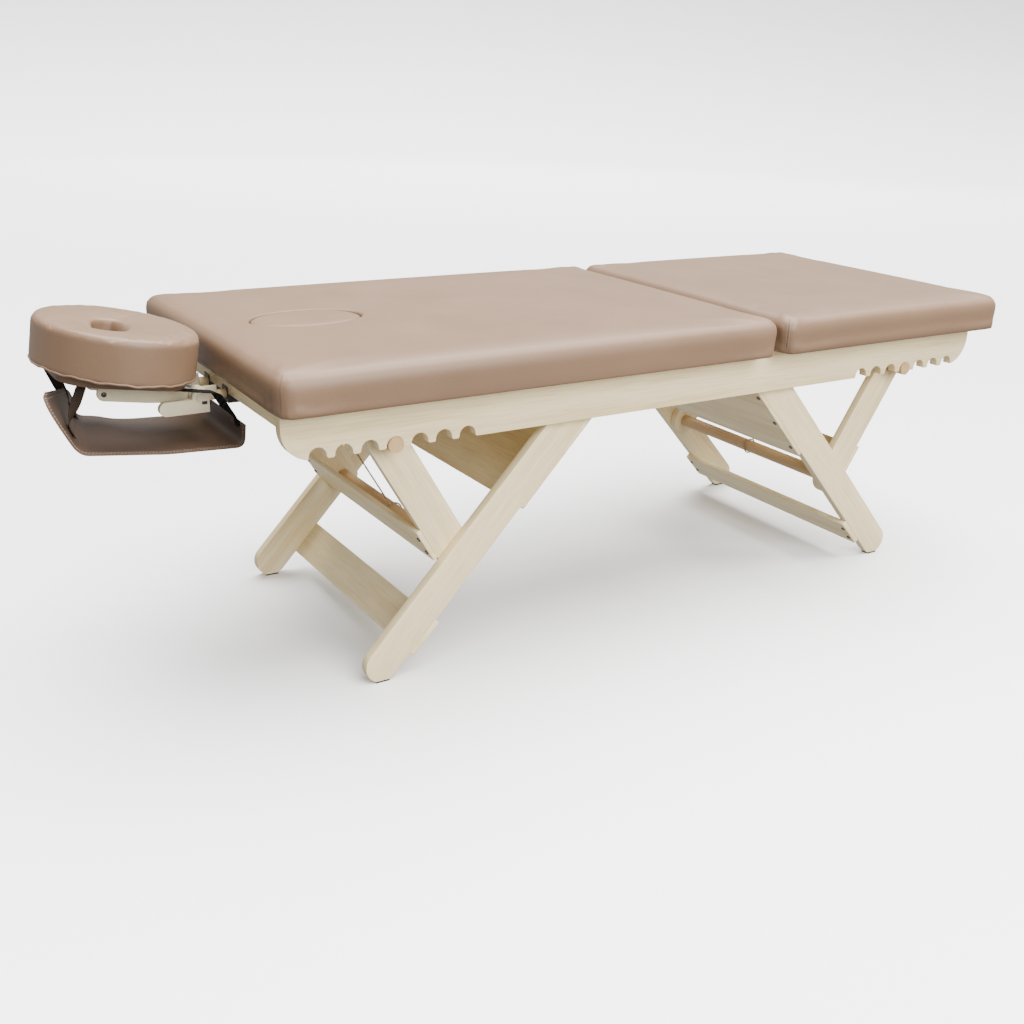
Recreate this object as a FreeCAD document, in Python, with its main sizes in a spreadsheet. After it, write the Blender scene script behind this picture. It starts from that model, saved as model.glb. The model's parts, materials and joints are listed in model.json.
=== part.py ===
import FreeCAD, Part
import os
import re
import Sketcher

# Massage table on two notched trestles, with a plug-in face rest.
# +Z is up and z = 0 is the floor, the head end is at -X, left is -Y; all sizes are in mm.
# The origin lies on the floor, half way along and half way across the whole table.

V = FreeCAD.Vector
SIDES = {"left": -1, "right": 1}
ENDS = ("head", "foot")
NEAR = 0.01

SIZES = {
    # upholstered top
    "top_length": 1818,
    "top_width": 750,
    "main_length": 1108,
    "section_gap": 5,
    "deck_height": 565.5,
    "cushion_height": 76,
    "cushion_crown": 6,
    "cushion_corner": 30,
    "cushion_round": 22,
    "cushion_hem": 6,
    "cushion_draw": 3,
    "base_thickness": 12,
    "base_margin": 18,
    "plug_length": 222,
    "plug_width": 138,
    "plug_from_head": 213,
    "plug_ledge": 8,
    "soft_clearance": 0.4,
    "cutter_spare": 1,
    # frame
    "frame_width": 625,
    "rail_length": 1755,
    "rail_inset": 30.5,
    "rail_depth": 91.5,
    "rail_thickness": 20,
    "rail_corner": 58,
    "cross_thickness": 20,
    "cross_depth": 40,
    "cross_head_depth": 31.5,
    "cross_middle_head": 110,
    "cross_middle_foot": 170,
    "cross_split": 76,
    "cross_foot": 57,
    "notch_pitch": 49,
    "notch_count": 7,
    "notch_offset": 665,
    "notch_play": 2,
    "seat_clearance": 0.4,
    "tooth_round": 4,
    "dowel_diameter": 30,
    "dowel_drop": 85.5,
    "dowel_reach": 3.5,
    # leg frames
    "leg_width": 70,
    "leg_thickness": 20,
    "leg_gap": 0.5,
    "pivot_offset": 253.5,
    "pivot_drop": 69.5,
    "foot_offset": 680.5,
    "foot_pad_thickness": 3,
    "pivot_bolt_diameter": 10,
    "pivot_bolt_depth": 15,
    "bolt_head_diameter": 20,
    "bolt_head_height": 5,
    "washer_thickness": 1.5,
    "washer_rim": 2,
    "running_clearance": 0.05,
    "panel_thickness": 9,
    "panel_top": -8,
    "panel_width": 234,
    "panel_screw_margin": 29,
    "tie_thickness": 12,
    "tie_top": 500,
    "tie_width": 80,
    "tie_screw_margin": 22,
    "screw_diameter": 4,
    "screw_length": 24,
    "screw_head_diameter": 9,
    "screw_head_height": 2,
    # strut frames
    "strut_width": 72,
    "strut_thickness": 19,
    "strut_station": 375,
    "rod_diameter": 30,
    "rod_end_diameter": 16,
    "rod_end_depth": 15,
    "brace_thickness": 10,
    "brace_start": 27,
    "brace_width": 74,
    "brace_screw_margin": 20,
    "cord_diameter": 4,
    "cord_loop_diameter": 5,
    "cord_clearance": 0.2,
    # face rest
    "headrest_reach": 289,
    "face_tilt": 9,
    "face_length": 280,
    "face_width": 330,
    "face_height": 82,
    "face_round": 26,
    "face_hem": 10,
    "face_hole_length": 90,
    "face_hole_width": 84,
    "plate_rise": -13.2,
    "plate_thickness": 15,
    "plate_length": 220,
    "plate_width": 224,
    "plate_corner": 60,
    "plate_from_head": 49,
    "hub_from_head": 20.5,
    "hub_drop": 30.5,
    "hub_diameter": 32,
    "arm_thickness": 8,
    "arm_gap": 0.5,
    "arm_spacing": 89,
    "arm_reach": 175,
    "arm_depth": 38,
    "arm_hole": 9,
    "arm_hole_margin": 12,
    "hinge_bolt_diameter": 10,
    "hinge_cap": 3,
    "hinge_plate_reach": 34,
    "hinge_plate_drop": 12,
    "hinge_plate_height": 26,
    "slide_rod_diameter": 18,
    "slide_rod_drop": 34,
    "slide_rod_engaged": 58,
    "socket_length": 62,
    "socket_width": 30,
    "lever_length": 62,
    "lever_width": 26,
    "lever_thickness": 12,
    "lever_drop": 17,
    "lever_slot_length": 10,
    "lever_slot_width": 6,
    "lever_slot_offset": 2,
    "lever_hub_diameter": 30,
    # arm sling under the face rest
    "sling_thickness": 3,
    "sling_width": 236,
    "sling_left": 244.5,
    "sling_left_drop": 94.5,
    "sling_past_head": 39.5,
    "sling_right_drop": 119.5,
    "sling_sag": 6,
    "sling_tongue": 92,
    "sling_tongue_width": 150,
    "sling_flap": 43,
    "sling_lean": 20,
    "sling_flap_lean": 4,
    "sling_fold": 12,
    "strap_width": 22,
    "strap_thickness": 2,
    "strap_lift": 0.5,
    "strap_lap": 50,
    "strap_seat": 30,
    "strap_fold": 20,
    "strap_past_head": 8.5,
    "strap_drop": 21.5,
}

# Places that follow from the sizes above.
LAYOUT = {
    "head_x": "(headrest_reach - top_length) / 2",
    "foot_x": "(headrest_reach + top_length) / 2",
    "split_x": "head_x + main_length",
    "frame_mid": "head_x + rail_inset + rail_length / 2",
    "rail_outer": "frame_width / 2",
    "rail_inner": "frame_width / 2 - rail_thickness",
    "rail_bottom": "deck_height - rail_depth",
    "base_top": "deck_height + base_thickness",
    "base_half": "top_width / 2 - base_margin",
    "leg_outer": "rail_inner - leg_gap",
    "leg_inner": "leg_outer - leg_thickness",
    "strut_outer": "leg_inner - leg_gap",
    "strut_inner": "strut_outer - strut_thickness",
    "pivot_z": "deck_height - pivot_drop",
    "leg_drop": "pivot_z - leg_width / 2",
    "leg_run": "foot_offset - pivot_offset",
    "leg_length": "sqrt(leg_run^2 + leg_drop^2)",
    "leg_angle": "atan2(leg_drop; leg_run)",
    "joint_offset": "pivot_offset + strut_station * leg_run / leg_length",
    "joint_z": "pivot_z - strut_station * leg_drop / leg_length",
    "dowel_z": "deck_height - dowel_drop",
    "strut_run": "notch_offset - joint_offset",
    "strut_rise": "dowel_z - joint_z",
    "strut_length": "sqrt(strut_run^2 + strut_rise^2)",
    "strut_angle": "atan2(strut_rise; strut_run)",
    "plug_x": "head_x + plug_from_head",
    "face_x": "hub_x + face_length / 2 - face_hem + (head_x - headrest_reach - hub_x + face_hem"
              " - (plate_top - hub_height + face_hem) * sin(face_tilt)) / cos(face_tilt)",
    "plate_x": "head_x - plate_from_head - plate_length / 2",
    "plate_height": "deck_height + plate_rise",
    "plate_top": "plate_height + plate_thickness",
    "hub_height": "deck_height - hub_drop",
    "slide_rod_height": "deck_height - slide_rod_drop",
    "socket_low": "slide_rod_height - socket_width / 2",
    "sling_left_height": "deck_height - sling_left_drop",
    "sling_right_height": "deck_height - sling_right_drop",
    "hub_x": "head_x - hub_from_head",
    "upper_arm_y": "(arm_spacing - arm_thickness) / 2",
    "lower_arm_y": "upper_arm_y + arm_thickness + arm_gap",
    "lever_y": "lower_arm_y + arm_thickness / 2 + arm_gap + lever_thickness / 2",
}

doc = FreeCAD.newDocument("massage_table")
dims = doc.addObject("Spreadsheet::Sheet", "dims")
for row, (alias, value) in enumerate(SIZES.items(), 1):
    dims.set(f"A{row}", alias)
    dims.set(f"B{row}", str(value))
    dims.setAlias(f"B{row}", alias)
doc.recompute()


def spelled(text):
    """Give each size and each derived place in an expression its full document name."""
    def full(match):
        word = match.group(0)
        if word in SIZES:
            return "dims." + word
        return "layout." + word if word in LAYOUT else word
    return re.sub(r"[a-z][a-z_]+", full, text)


layout = doc.addObject("App::VarSet", "layout")
for name in LAYOUT:
    kind = "App::PropertyAngle" if name.endswith("_angle") else "App::PropertyFloat"
    layout.addProperty(kind, name, "Layout")
for name, text in LAYOUT.items():
    layout.setExpression(name, spelled(text))
doc.recompute()


def number(text):
    """Present value of an expression."""
    value = dims.evalExpression(spelled(text))
    return float(getattr(value, "Value", value))


def bind(thing, prop, text):
    thing.setExpression(prop, spelled(str(text)))


# Each trestle is drawn once, as the foot end's: a local X axis runs along the board from its pivot.
# The head end's trestle is the same one turned half way round the table's upright axis.
def placement_text(x, z, turn, end):
    if end == "foot":
        axis, angle = "create(<<vector>>; 0; 1; 0)", turn
        place = f"frame_mid + {x}"
    else:
        axis, angle = f"create(<<vector>>; -sin({turn} / 2); 0; cos({turn} / 2))", "180"
        place = f"frame_mid - {x}"
    base = f"create(<<vector>>; {place}; 0; {z})"
    return f"create(<<placement>>; {base}; create(<<rotation>>; {axis}; {angle}))"


LEG_PLACE = {end: placement_text("pivot_offset", "pivot_z", "leg_angle", end) for end in ENDS}
STRUT_PLACE = {end: placement_text("joint_offset", "joint_z", "-strut_angle", end) for end in ENDS}

# The face rest is drawn level and then tilted about its hinge, outer end up.
FACE_PLACE = ("create(<<placement>>; create(<<vector>>;"
              " hub_x - hub_x * cos(face_tilt) - hub_height * sin(face_tilt); 0;"
              " hub_height + hub_x * sin(face_tilt) - hub_height * cos(face_tilt));"
              " create(<<rotation>>; create(<<vector>>; 0; 1; 0); face_tilt))")

nodes = []


def keep(thing, label, place=None):
    """Name a finished sub-part and, on a trestle, turn it into its place."""
    thing.Label = label
    if place:
        bind(thing, "Placement", place)
    nodes.append(thing)
    return thing


def box(name, x, y, z, length, width, height):
    """Block between low corner x, y, z and its far corner; every value is an expression."""
    block = doc.addObject("Part::Box", name)
    for prop, text in (("Length", length), ("Width", width), ("Height", height),
                       ("Placement.Base.x", x), ("Placement.Base.y", y), ("Placement.Base.z", z)):
        bind(block, prop, text)
    return block


AXIS_TURN = {"x": (V(0, 1, 0), 90), "y": (V(1, 0, 0), -90), "z": (V(0, 0, 1), 0)}


def cylinder(name, axis, x, y, z, diameter, length):
    """Round bar that starts at x, y, z and runs along +axis."""
    bar = doc.addObject("Part::Cylinder", name)
    bar.Placement = FreeCAD.Placement(V(), FreeCAD.Rotation(*AXIS_TURN[axis]))
    for prop, text in (("Radius", f"({diameter}) / 2"), ("Height", length), ("Placement.Base.x", x),
                       ("Placement.Base.y", y), ("Placement.Base.z", z)):
        bind(bar, prop, text)
    return bar


def fuse(name, shapes):
    joined = doc.addObject("Part::MultiFuse", name)
    joined.Shapes = shapes
    joined.Refine = True
    return joined


def cut(name, base, tools):
    result = doc.addObject("Part::Cut", name)
    result.Base = base
    result.Tool = tools[0] if len(tools) == 1 else fuse(name + "_tools", tools)
    return result


def compound(name, shapes):
    group = doc.addObject("Part::Compound", name)
    group.Links = shapes
    return group


def plate_sketch(name, centre):
    """Body with a sketch in the upright XZ plane, at the middle of a board's thickness."""
    body = doc.addObject("PartDesign::Body", name)
    plane = next(f for f in body.Origin.OriginFeatures if f.Role == "XZ_Plane")
    sketch = body.newObject("Sketcher::SketchObject", name + "_outline")
    sketch.AttachmentSupport = [(plane, "")]
    sketch.MapMode = "FlatFace"
    bind(sketch, "AttachmentOffset.Base.z", f"-({centre})")
    return body, sketch


def rule(sketch, text, *constraint):
    """Add a dimension to a sketch and bind it to an expression."""
    index = sketch.addConstraint(Sketcher.Constraint(*constraint, number(text)))
    bind(sketch, f"Constraints[{index}]", text)


def pad(body, sketch, thickness):
    feature = body.newObject("PartDesign::Pad", body.Name + "_pad")
    feature.Profile = sketch
    feature.SideType = "Symmetric"
    bind(feature, "Length", thickness)
    doc.recompute()
    return feature


def rounded_bar(name, centre, thickness, length, width):
    """Board with two half-round ends, from the local origin along +X."""
    body, sketch = plate_sketch(name, centre)
    reach, half = number(length), number(width) / 2
    quarter = FreeCAD.Units.parseQuantity("90 deg").getValueAs("rad").Value
    up = V(0, 0, 1)
    sketch.addGeometry(Part.ArcOfCircle(Part.Circle(V(), up, half), quarter, 3 * quarter))
    sketch.addGeometry(Part.LineSegment(V(0, -half, 0), V(reach, -half, 0)))
    sketch.addGeometry(Part.ArcOfCircle(Part.Circle(V(reach, 0, 0), up, half), -quarter, quarter))
    sketch.addGeometry(Part.LineSegment(V(reach, half, 0), V(0, half, 0)))
    for first in range(4):
        sketch.addConstraint(Sketcher.Constraint("Tangent", first, 2, (first + 1) % 4, 1))
    sketch.addConstraint(Sketcher.Constraint("Coincident", 0, 3, -1, 1))
    sketch.addConstraint(Sketcher.Constraint("Equal", 0, 2))
    sketch.addConstraint(Sketcher.Constraint("PointOnObject", 2, 3, -1))
    rule(sketch, f"({width}) / 2", "Radius", 0)
    rule(sketch, length, "DistanceX", -1, 1, 2, 3)
    pad(body, sketch, thickness)
    return body


def polygon_plate(name, centre, thickness, points):
    """Flat plate whose corners are pairs of expressions, x and z."""
    body, sketch = plate_sketch(name, centre)
    corners = [V(number(x), number(z), 0) for x, z in points]
    count = len(corners)
    for index, corner in enumerate(corners):
        sketch.addGeometry(Part.LineSegment(corner, corners[(index + 1) % count]))
    for index, (x, z) in enumerate(points):
        sketch.addConstraint(Sketcher.Constraint("Coincident", index, 2, (index + 1) % count, 1))
        rule(sketch, x, "DistanceX", -1, 1, index, 1)
        rule(sketch, z, "DistanceY", -1, 1, index, 1)
    pad(body, sketch, thickness)
    return body


def edge_names(shape, test):
    return [f"Edge{i}" for i, edge in enumerate(shape.Edges, 1) if test(edge)]


def runs_across(edge):
    """True for a straight edge along Y."""
    first, last = edge.Vertexes[0].Point, edge.Vertexes[-1].Point
    return abs(abs(first.y - last.y) - edge.Length) < NEAR and edge.Length > number("cutter_spare")


def round_edges(body, name, radius, test):
    base, names = body.Tip, edge_names(body.Shape, test)
    feature = body.newObject("PartDesign::Fillet", name)
    feature.Base = (base, names)
    bind(feature, "Radius", radius)
    doc.recompute()


# Side rails: long boards with a row of notches at each end, which take the strut frames' dowels.
def notch_row(body, name, centre, end):
    """One notch and its copies along the rail's lower edge."""
    sketch = body.newObject("Sketcher::SketchObject", f"{name}_{end}_notch")
    sketch.AttachmentSupport = body.Group[0].AttachmentSupport
    sketch.MapMode = "FlatFace"
    bind(sketch, "AttachmentOffset.Base.z", f"-({centre})")
    sign = 1 if end == "foot" else -1
    first = f"frame_mid + {sign} * notch_offset - (notch_count - 1) / 2 * notch_pitch"
    middle = "dowel_z - notch_play + seat_clearance"
    radius = "dowel_diameter / 2 + notch_play"
    x, z, r = number(first), number(middle), number(radius)
    low = number("rail_bottom") - r
    left, right = V(x - r, z, 0), V(x + r, z, 0)
    half_turn = FreeCAD.Units.parseQuantity("180 deg").getValueAs("rad").Value
    sketch.addGeometry(Part.ArcOfCircle(Part.Circle(V(x, z, 0), V(0, 0, 1), r), 0, half_turn))
    sketch.addGeometry(Part.LineSegment(left, V(x - r, low, 0)))
    sketch.addGeometry(Part.LineSegment(V(x - r, low, 0), V(x + r, low, 0)))
    sketch.addGeometry(Part.LineSegment(V(x + r, low, 0), right))
    for kind, one, two in (("Tangent", 0, 1), ("Coincident", 1, 2), ("Coincident", 2, 3), ("Tangent", 3, 0)):
        sketch.addConstraint(Sketcher.Constraint(kind, one, 2, two, 1))
    for geometry in (1, 3):
        sketch.addConstraint(Sketcher.Constraint("Vertical", geometry))
    sketch.addConstraint(Sketcher.Constraint("Horizontal", 2))
    rule(sketch, radius, "Radius", 0)
    rule(sketch, first, "DistanceX", -1, 1, 0, 3)
    rule(sketch, middle, "DistanceY", -1, 1, 0, 3)
    rule(sketch, f"rail_bottom - ({radius})", "DistanceY", -1, 1, 1, 2)
    pocket = body.newObject("PartDesign::Pocket", f"{name}_{end}_cut")
    pocket.Profile = sketch
    pocket.SideType = "Symmetric"
    pocket.Type = "ThroughAll"
    doc.recompute()
    pattern = body.newObject("PartDesign::LinearPattern", f"{name}_{end}_row")
    pattern.Originals = [pocket]
    pattern.Direction = (sketch, ["H_Axis"])
    bind(pattern, "Length", "(notch_count - 1) * notch_pitch")
    bind(pattern, "Occurrences", "notch_count")
    body.Tip = pattern
    doc.recompute()


def side_rail(side):
    name = f"side_rail_{side}"
    centre = f"{SIDES[side]} * (rail_outer - rail_thickness / 2)"
    half = "rail_length / 2"
    points = ((f"frame_mid - {half}", "rail_bottom"), (f"frame_mid + {half}", "rail_bottom"),
              (f"frame_mid + {half}", "deck_height"), (f"frame_mid - {half}", "deck_height"))
    body = polygon_plate(name + "_board", centre, "rail_thickness", points)
    bottom = number("rail_bottom")

    def lower(edge):
        return runs_across(edge) and abs(edge.Vertexes[0].Z - bottom) < NEAR

    round_edges(body, name + "_ends", "rail_corner", lower)
    plain = body.Shape.Volume
    for end in ENDS:
        notch_row(body, name, centre, end)
    if body.Shape.Volume >= plain:
        raise RuntimeError("the notches cut nothing from " + name)
    reach = number("rail_length / 2 - rail_corner - tooth_round")
    round_edges(body, name + "_teeth", "tooth_round",
                lambda edge: lower(edge) and abs(edge.Vertexes[0].X - number("frame_mid")) < reach)
    inner = f"{SIDES[side]} * rail_inner - (1 - {SIDES[side]}) / 2 * pivot_bolt_depth"
    bores = [cylinder(f"{name}_{end}_bore", "y", f"frame_mid + {sign} * pivot_offset", inner, "pivot_z",
                      "pivot_bolt_diameter", "pivot_bolt_depth")
             for end, sign in (("head", -1), ("foot", 1))]
    keep(cut(name + "_bored", body, bores), name)


# Cross rails tie the side rails together under the base boards; the one at the head holds the sockets.
def cross_rails():
    places = {"middle_head": "frame_mid - cross_middle_head",
              "middle_foot": "frame_mid + cross_middle_foot",
              "split": "frame_mid + pivot_offset + cross_split",
              "foot": "frame_mid + rail_length / 2 - cross_foot"}
    for place, x in places.items():
        rail = box(f"cross_{place}", f"{x} - cross_thickness / 2", "-rail_inner",
                   "deck_height - cross_depth", "cross_thickness", "2 * rail_inner", "cross_depth")
        keep(rail, f"cross_rail_{place}")
    end = "frame_mid - rail_length / 2"
    head = box("cross_head", end, "-rail_inner", "deck_height - cross_head_depth", "cross_thickness",
               "2 * rail_inner", "cross_head_depth")
    notches = [box(f"cross_head_notch_{side}", f"{end} - cutter_spare",
                   f"{sign} * lower_arm_y - socket_width / 2", "socket_low",
                   "cross_thickness + 2 * cutter_spare", "socket_width", "socket_width")
               for side, sign in SIDES.items()]
    keep(cut("cross_head_notched", head, notches), "cross_rail_head")


def oval(x, length, width, z, height):
    """Upright oval prism for the face hole, its plug and the ledge below it."""
    centre = V(x, 0, z)
    along, across = V(length / 2, 0, 0), V(0, width / 2, 0)
    major, minor = (along, across) if length >= width else (across, -along)
    curve = Part.Ellipse(centre + major, centre + minor, centre)
    return Part.Face(Part.Wire([curve.toShape()])).extrude(V(0, 0, height))


def feature(label, shape, place=None):
    """Sub-part whose curved form is worked out here from the sheet's sizes."""
    part = doc.addObject("Part::Feature", label)
    part.Shape = shape
    return keep(part, label, place)


def drawn_in_outline(low_x, high_x, half_width, z):
    """Plan outline with round corners and sides that pull in half way along."""
    corner, draw = number("cushion_corner"), number("cushion_draw")
    diagonal = corner * (1 - 0.5 ** 0.5)
    middle = (low_x + high_x) / 2
    corners = []
    for x, y, along in ((low_x, -half_width, 1), (high_x, -half_width, 0),
                        (high_x, half_width, 1), (low_x, half_width, 0)):
        inward = V(1 if x == low_x else -1, 1 if y < 0 else -1, 0)
        on_y, on_x = V(x, y + inward.y * corner, z), V(x + inward.x * corner, y, z)
        turn = V(x + inward.x * diagonal, y + inward.y * diagonal, z)
        corners.append((on_y, turn, on_x) if along else (on_x, turn, on_y))
    sags = (V(middle, -half_width + draw, z), V(high_x - draw, 0, z),
            V(middle, half_width - draw, z), V(low_x + draw, 0, z))
    edges = []
    for index, (start, turn, end) in enumerate(corners):
        edges.append(Part.Arc(start, turn, end).toShape())
        edges.append(Part.Arc(end, sags[index], corners[(index + 1) % 4][0]).toShape())
    return Part.Wire(edges)


def crown(low_x, high_x, half_width, floor):
    """Solid under the crowned top: a loft through three bowed sections along the cushion."""
    edge = number("deck_height + cushion_height")
    rise = number("cushion_crown")
    spare = number("cushion_corner")
    sections = []
    for x, drop in ((low_x - spare, rise), ((low_x + high_x) / 2, 0), (high_x + spare, rise)):
        left, right = -half_width - spare, half_width + spare
        low_left, low_right = V(x, left, floor), V(x, right, floor)
        top_left, top_right = V(x, left, edge - drop), V(x, right, edge - drop)
        bow = Part.Arc(top_right, V(x, 0, edge + rise - drop), top_left).toShape()
        sections.append(Part.Wire([Part.makeLine(low_left, low_right), Part.makeLine(low_right, top_right),
                                   bow, Part.makeLine(top_left, low_left)]))
    return Part.makeLoft(sections, True, False)


def rounded(shape, radius, test):
    return shape.makeFillet(radius, [edge for edge in shape.Edges if test(edge)])


def top_edges(shape, floor):
    """Edges round the crowned face."""
    face = max(shape.Faces, key=lambda one: one.CenterOfMass.z)
    keys = [edge.hashCode() for edge in face.Edges]
    return lambda edge: edge.hashCode() in keys and edge.CenterOfMass.z > floor


def cushion(low_x, high_x):
    """Crowned block with round edges, whose underside has a pocket for its base board."""
    deck, margin = number("deck_height"), number("base_margin")
    half_width = number("top_width / 2")
    height = number("cushion_height + 2 * cushion_crown")
    block = Part.Face(drawn_in_outline(low_x, high_x, half_width, deck)).extrude(V(0, 0, height))
    solid = block.common(crown(low_x, high_x, half_width, deck - height)).Solids[0]
    solid = rounded(solid, number("cushion_round"), top_edges(solid, deck + number("cushion_hem")))
    solid = rounded(solid, number("cushion_hem"), lambda edge: edge.BoundBox.ZMax < deck + NEAR)
    pocket = Part.makeBox(high_x - low_x - 2 * margin, 2 * number("base_half"), number("base_thickness"),
                          V(low_x + margin, -number("base_half"), deck))
    return solid.cut(pocket)


def upholstery():
    """Two cushions on one frame; the long one has the face hole, which its plug fills."""
    deck, head, split, foot = (number(name) for name in ("deck_height", "head_x", "split_x", "foot_x"))
    x, length, width = number("plug_x"), number("plug_length"), number("plug_width")
    play = 2 * number("soft_clearance")
    tall = number("cushion_height + 2 * cushion_crown")
    soft = number("cushion_hem")
    main = cushion(head, split)
    spare = number("cutter_spare")
    hole = oval(x, length, width, deck - spare, tall + 2 * spare)
    plug = oval(x, length - play, width - play, number("base_top") + play / 2, tall).common(
        crown(head, split, number("top_width / 2"), deck - tall))
    main = rounded(main.cut(hole), soft, lambda edge: edge.BoundBox.ZMin > deck + tall / 2 and
                   edge.BoundBox.XLength < length + spare and edge.BoundBox.YLength > width - spare)
    plug = rounded(plug, soft, lambda edge: edge.BoundBox.ZMin > deck + tall / 2 and
                   edge.BoundBox.YLength > soft)
    feature("main_cushion", main)
    feature("face_plug", plug)
    feature("foot_cushion", cushion(split + number("section_gap"), foot))


def base_boards():
    """Plywood boards on the rails, one inside each cushion; the long one has the face hole."""
    main = box("main_board", "head_x + base_margin", "-base_half", "deck_height",
               "main_length - 2 * base_margin", "2 * base_half", "base_thickness")
    hole = doc.addObject("Part::Feature", "board_hole")
    narrow = 2 * number("plug_ledge")
    hole.Shape = oval(number("plug_x"), number("plug_length") - narrow, number("plug_width") - narrow,
                      number("deck_height - cutter_spare"), number("base_thickness + 2 * cutter_spare"))
    keep(cut("main_board_cut", main, [hole]), "main_base_board")
    foot = box("foot_board", "split_x + section_gap + base_margin", "-base_half", "deck_height",
               "foot_x - split_x - section_gap - 2 * base_margin", "2 * base_half", "base_thickness")
    keep(foot, "foot_base_board")


def pivot_hardware():
    """Shoulder bolts that carry the legs, screwed into the rails from inside, and their washers."""
    bolts, washers = [], []
    for end, way in (("head", -1), ("foot", 1)):
        for side, sign in SIDES.items():
            name = f"pivot_{end}_{side}"
            x = f"frame_mid + {way} * pivot_offset"
            inner = "(leg_inner - leg_gap - washer_thickness)"
            back = f"(1 - {sign}) / 2"
            grip = f"(rail_inner + pivot_bolt_depth - {inner})"
            shank = cylinder(name + "_shank", "y", x, f"{sign} * {inner} - {back} * {grip}", "pivot_z",
                             "pivot_bolt_diameter", grip)
            head = cylinder(name + "_head", "y", x,
                            f"{sign} * ({inner} - bolt_head_height / 2) - bolt_head_height / 2",
                            "pivot_z", "bolt_head_diameter", "bolt_head_height")
            bolts.append(fuse(name + "_bolt", [shank, head]))
            ring = cylinder(name + "_ring", "y", x,
                            f"{sign} * ({inner} + washer_thickness / 2) - washer_thickness / 2",
                            "pivot_z", "bolt_head_diameter + 2 * washer_rim", "washer_thickness")
            bore = cylinder(name + "_eye", "y", x, f"{sign} * {inner} - 2 * washer_thickness", "pivot_z",
                            "pivot_bolt_diameter", "4 * washer_thickness")
            washers.append(cut(name + "_washer", ring, [bore]))
    keep(compound("pivot_bolt_set", bolts), "leg_pivot_bolts")
    keep(compound("pivot_washer_set", washers), "leg_pivot_washers")


def sockets():
    """Bushes under the head end, which take the face rest's two slide rods."""
    for side, sign in SIDES.items():
        block = box(f"socket_block_{side}", "head_x + rail_inset", f"{sign} * lower_arm_y - socket_width / 2",
                    "socket_low", "socket_length", "socket_width", "socket_width")
        bore = cylinder(f"socket_bore_{side}", "x", "head_x", f"{sign} * lower_arm_y", "slide_rod_height",
                        "slide_rod_diameter + 2 * running_clearance", "socket_length + 2 * rail_inset")
        keep(cut(f"socket_{side}", block, [bore]), f"headrest_socket_{side}")


def screw(name, x, y, surface):
    """Wood screw with a low round head on a face that looks along -Z."""
    head = cylinder(name + "_head", "z", x, y, f"{surface} - screw_head_height",
                    "screw_head_diameter", "screw_head_height")
    shank = cylinder(name + "_shank", "z", x, y, surface, "screw_diameter", "screw_length")
    return fuse(name, [head, shank])


def board_across(name, x, half, z, width, thickness, place):
    """Board on the lower edges of a trestle's two sides, in the trestle's own place."""
    board = doc.addObject("Part::Box", name)
    for prop, text in (("Length", width), ("Width", f"2 * {half}"), ("Height", thickness)):
        bind(board, prop, text)
    offset = (f"create(<<placement>>; create(<<vector>>; {x}; -{half}; {z}); "
              f"create(<<rotation>>; create(<<vector>>; 0; 1; 0); 0))")
    bind(board, "Placement", f"{place} * {offset}")
    return board


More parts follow.
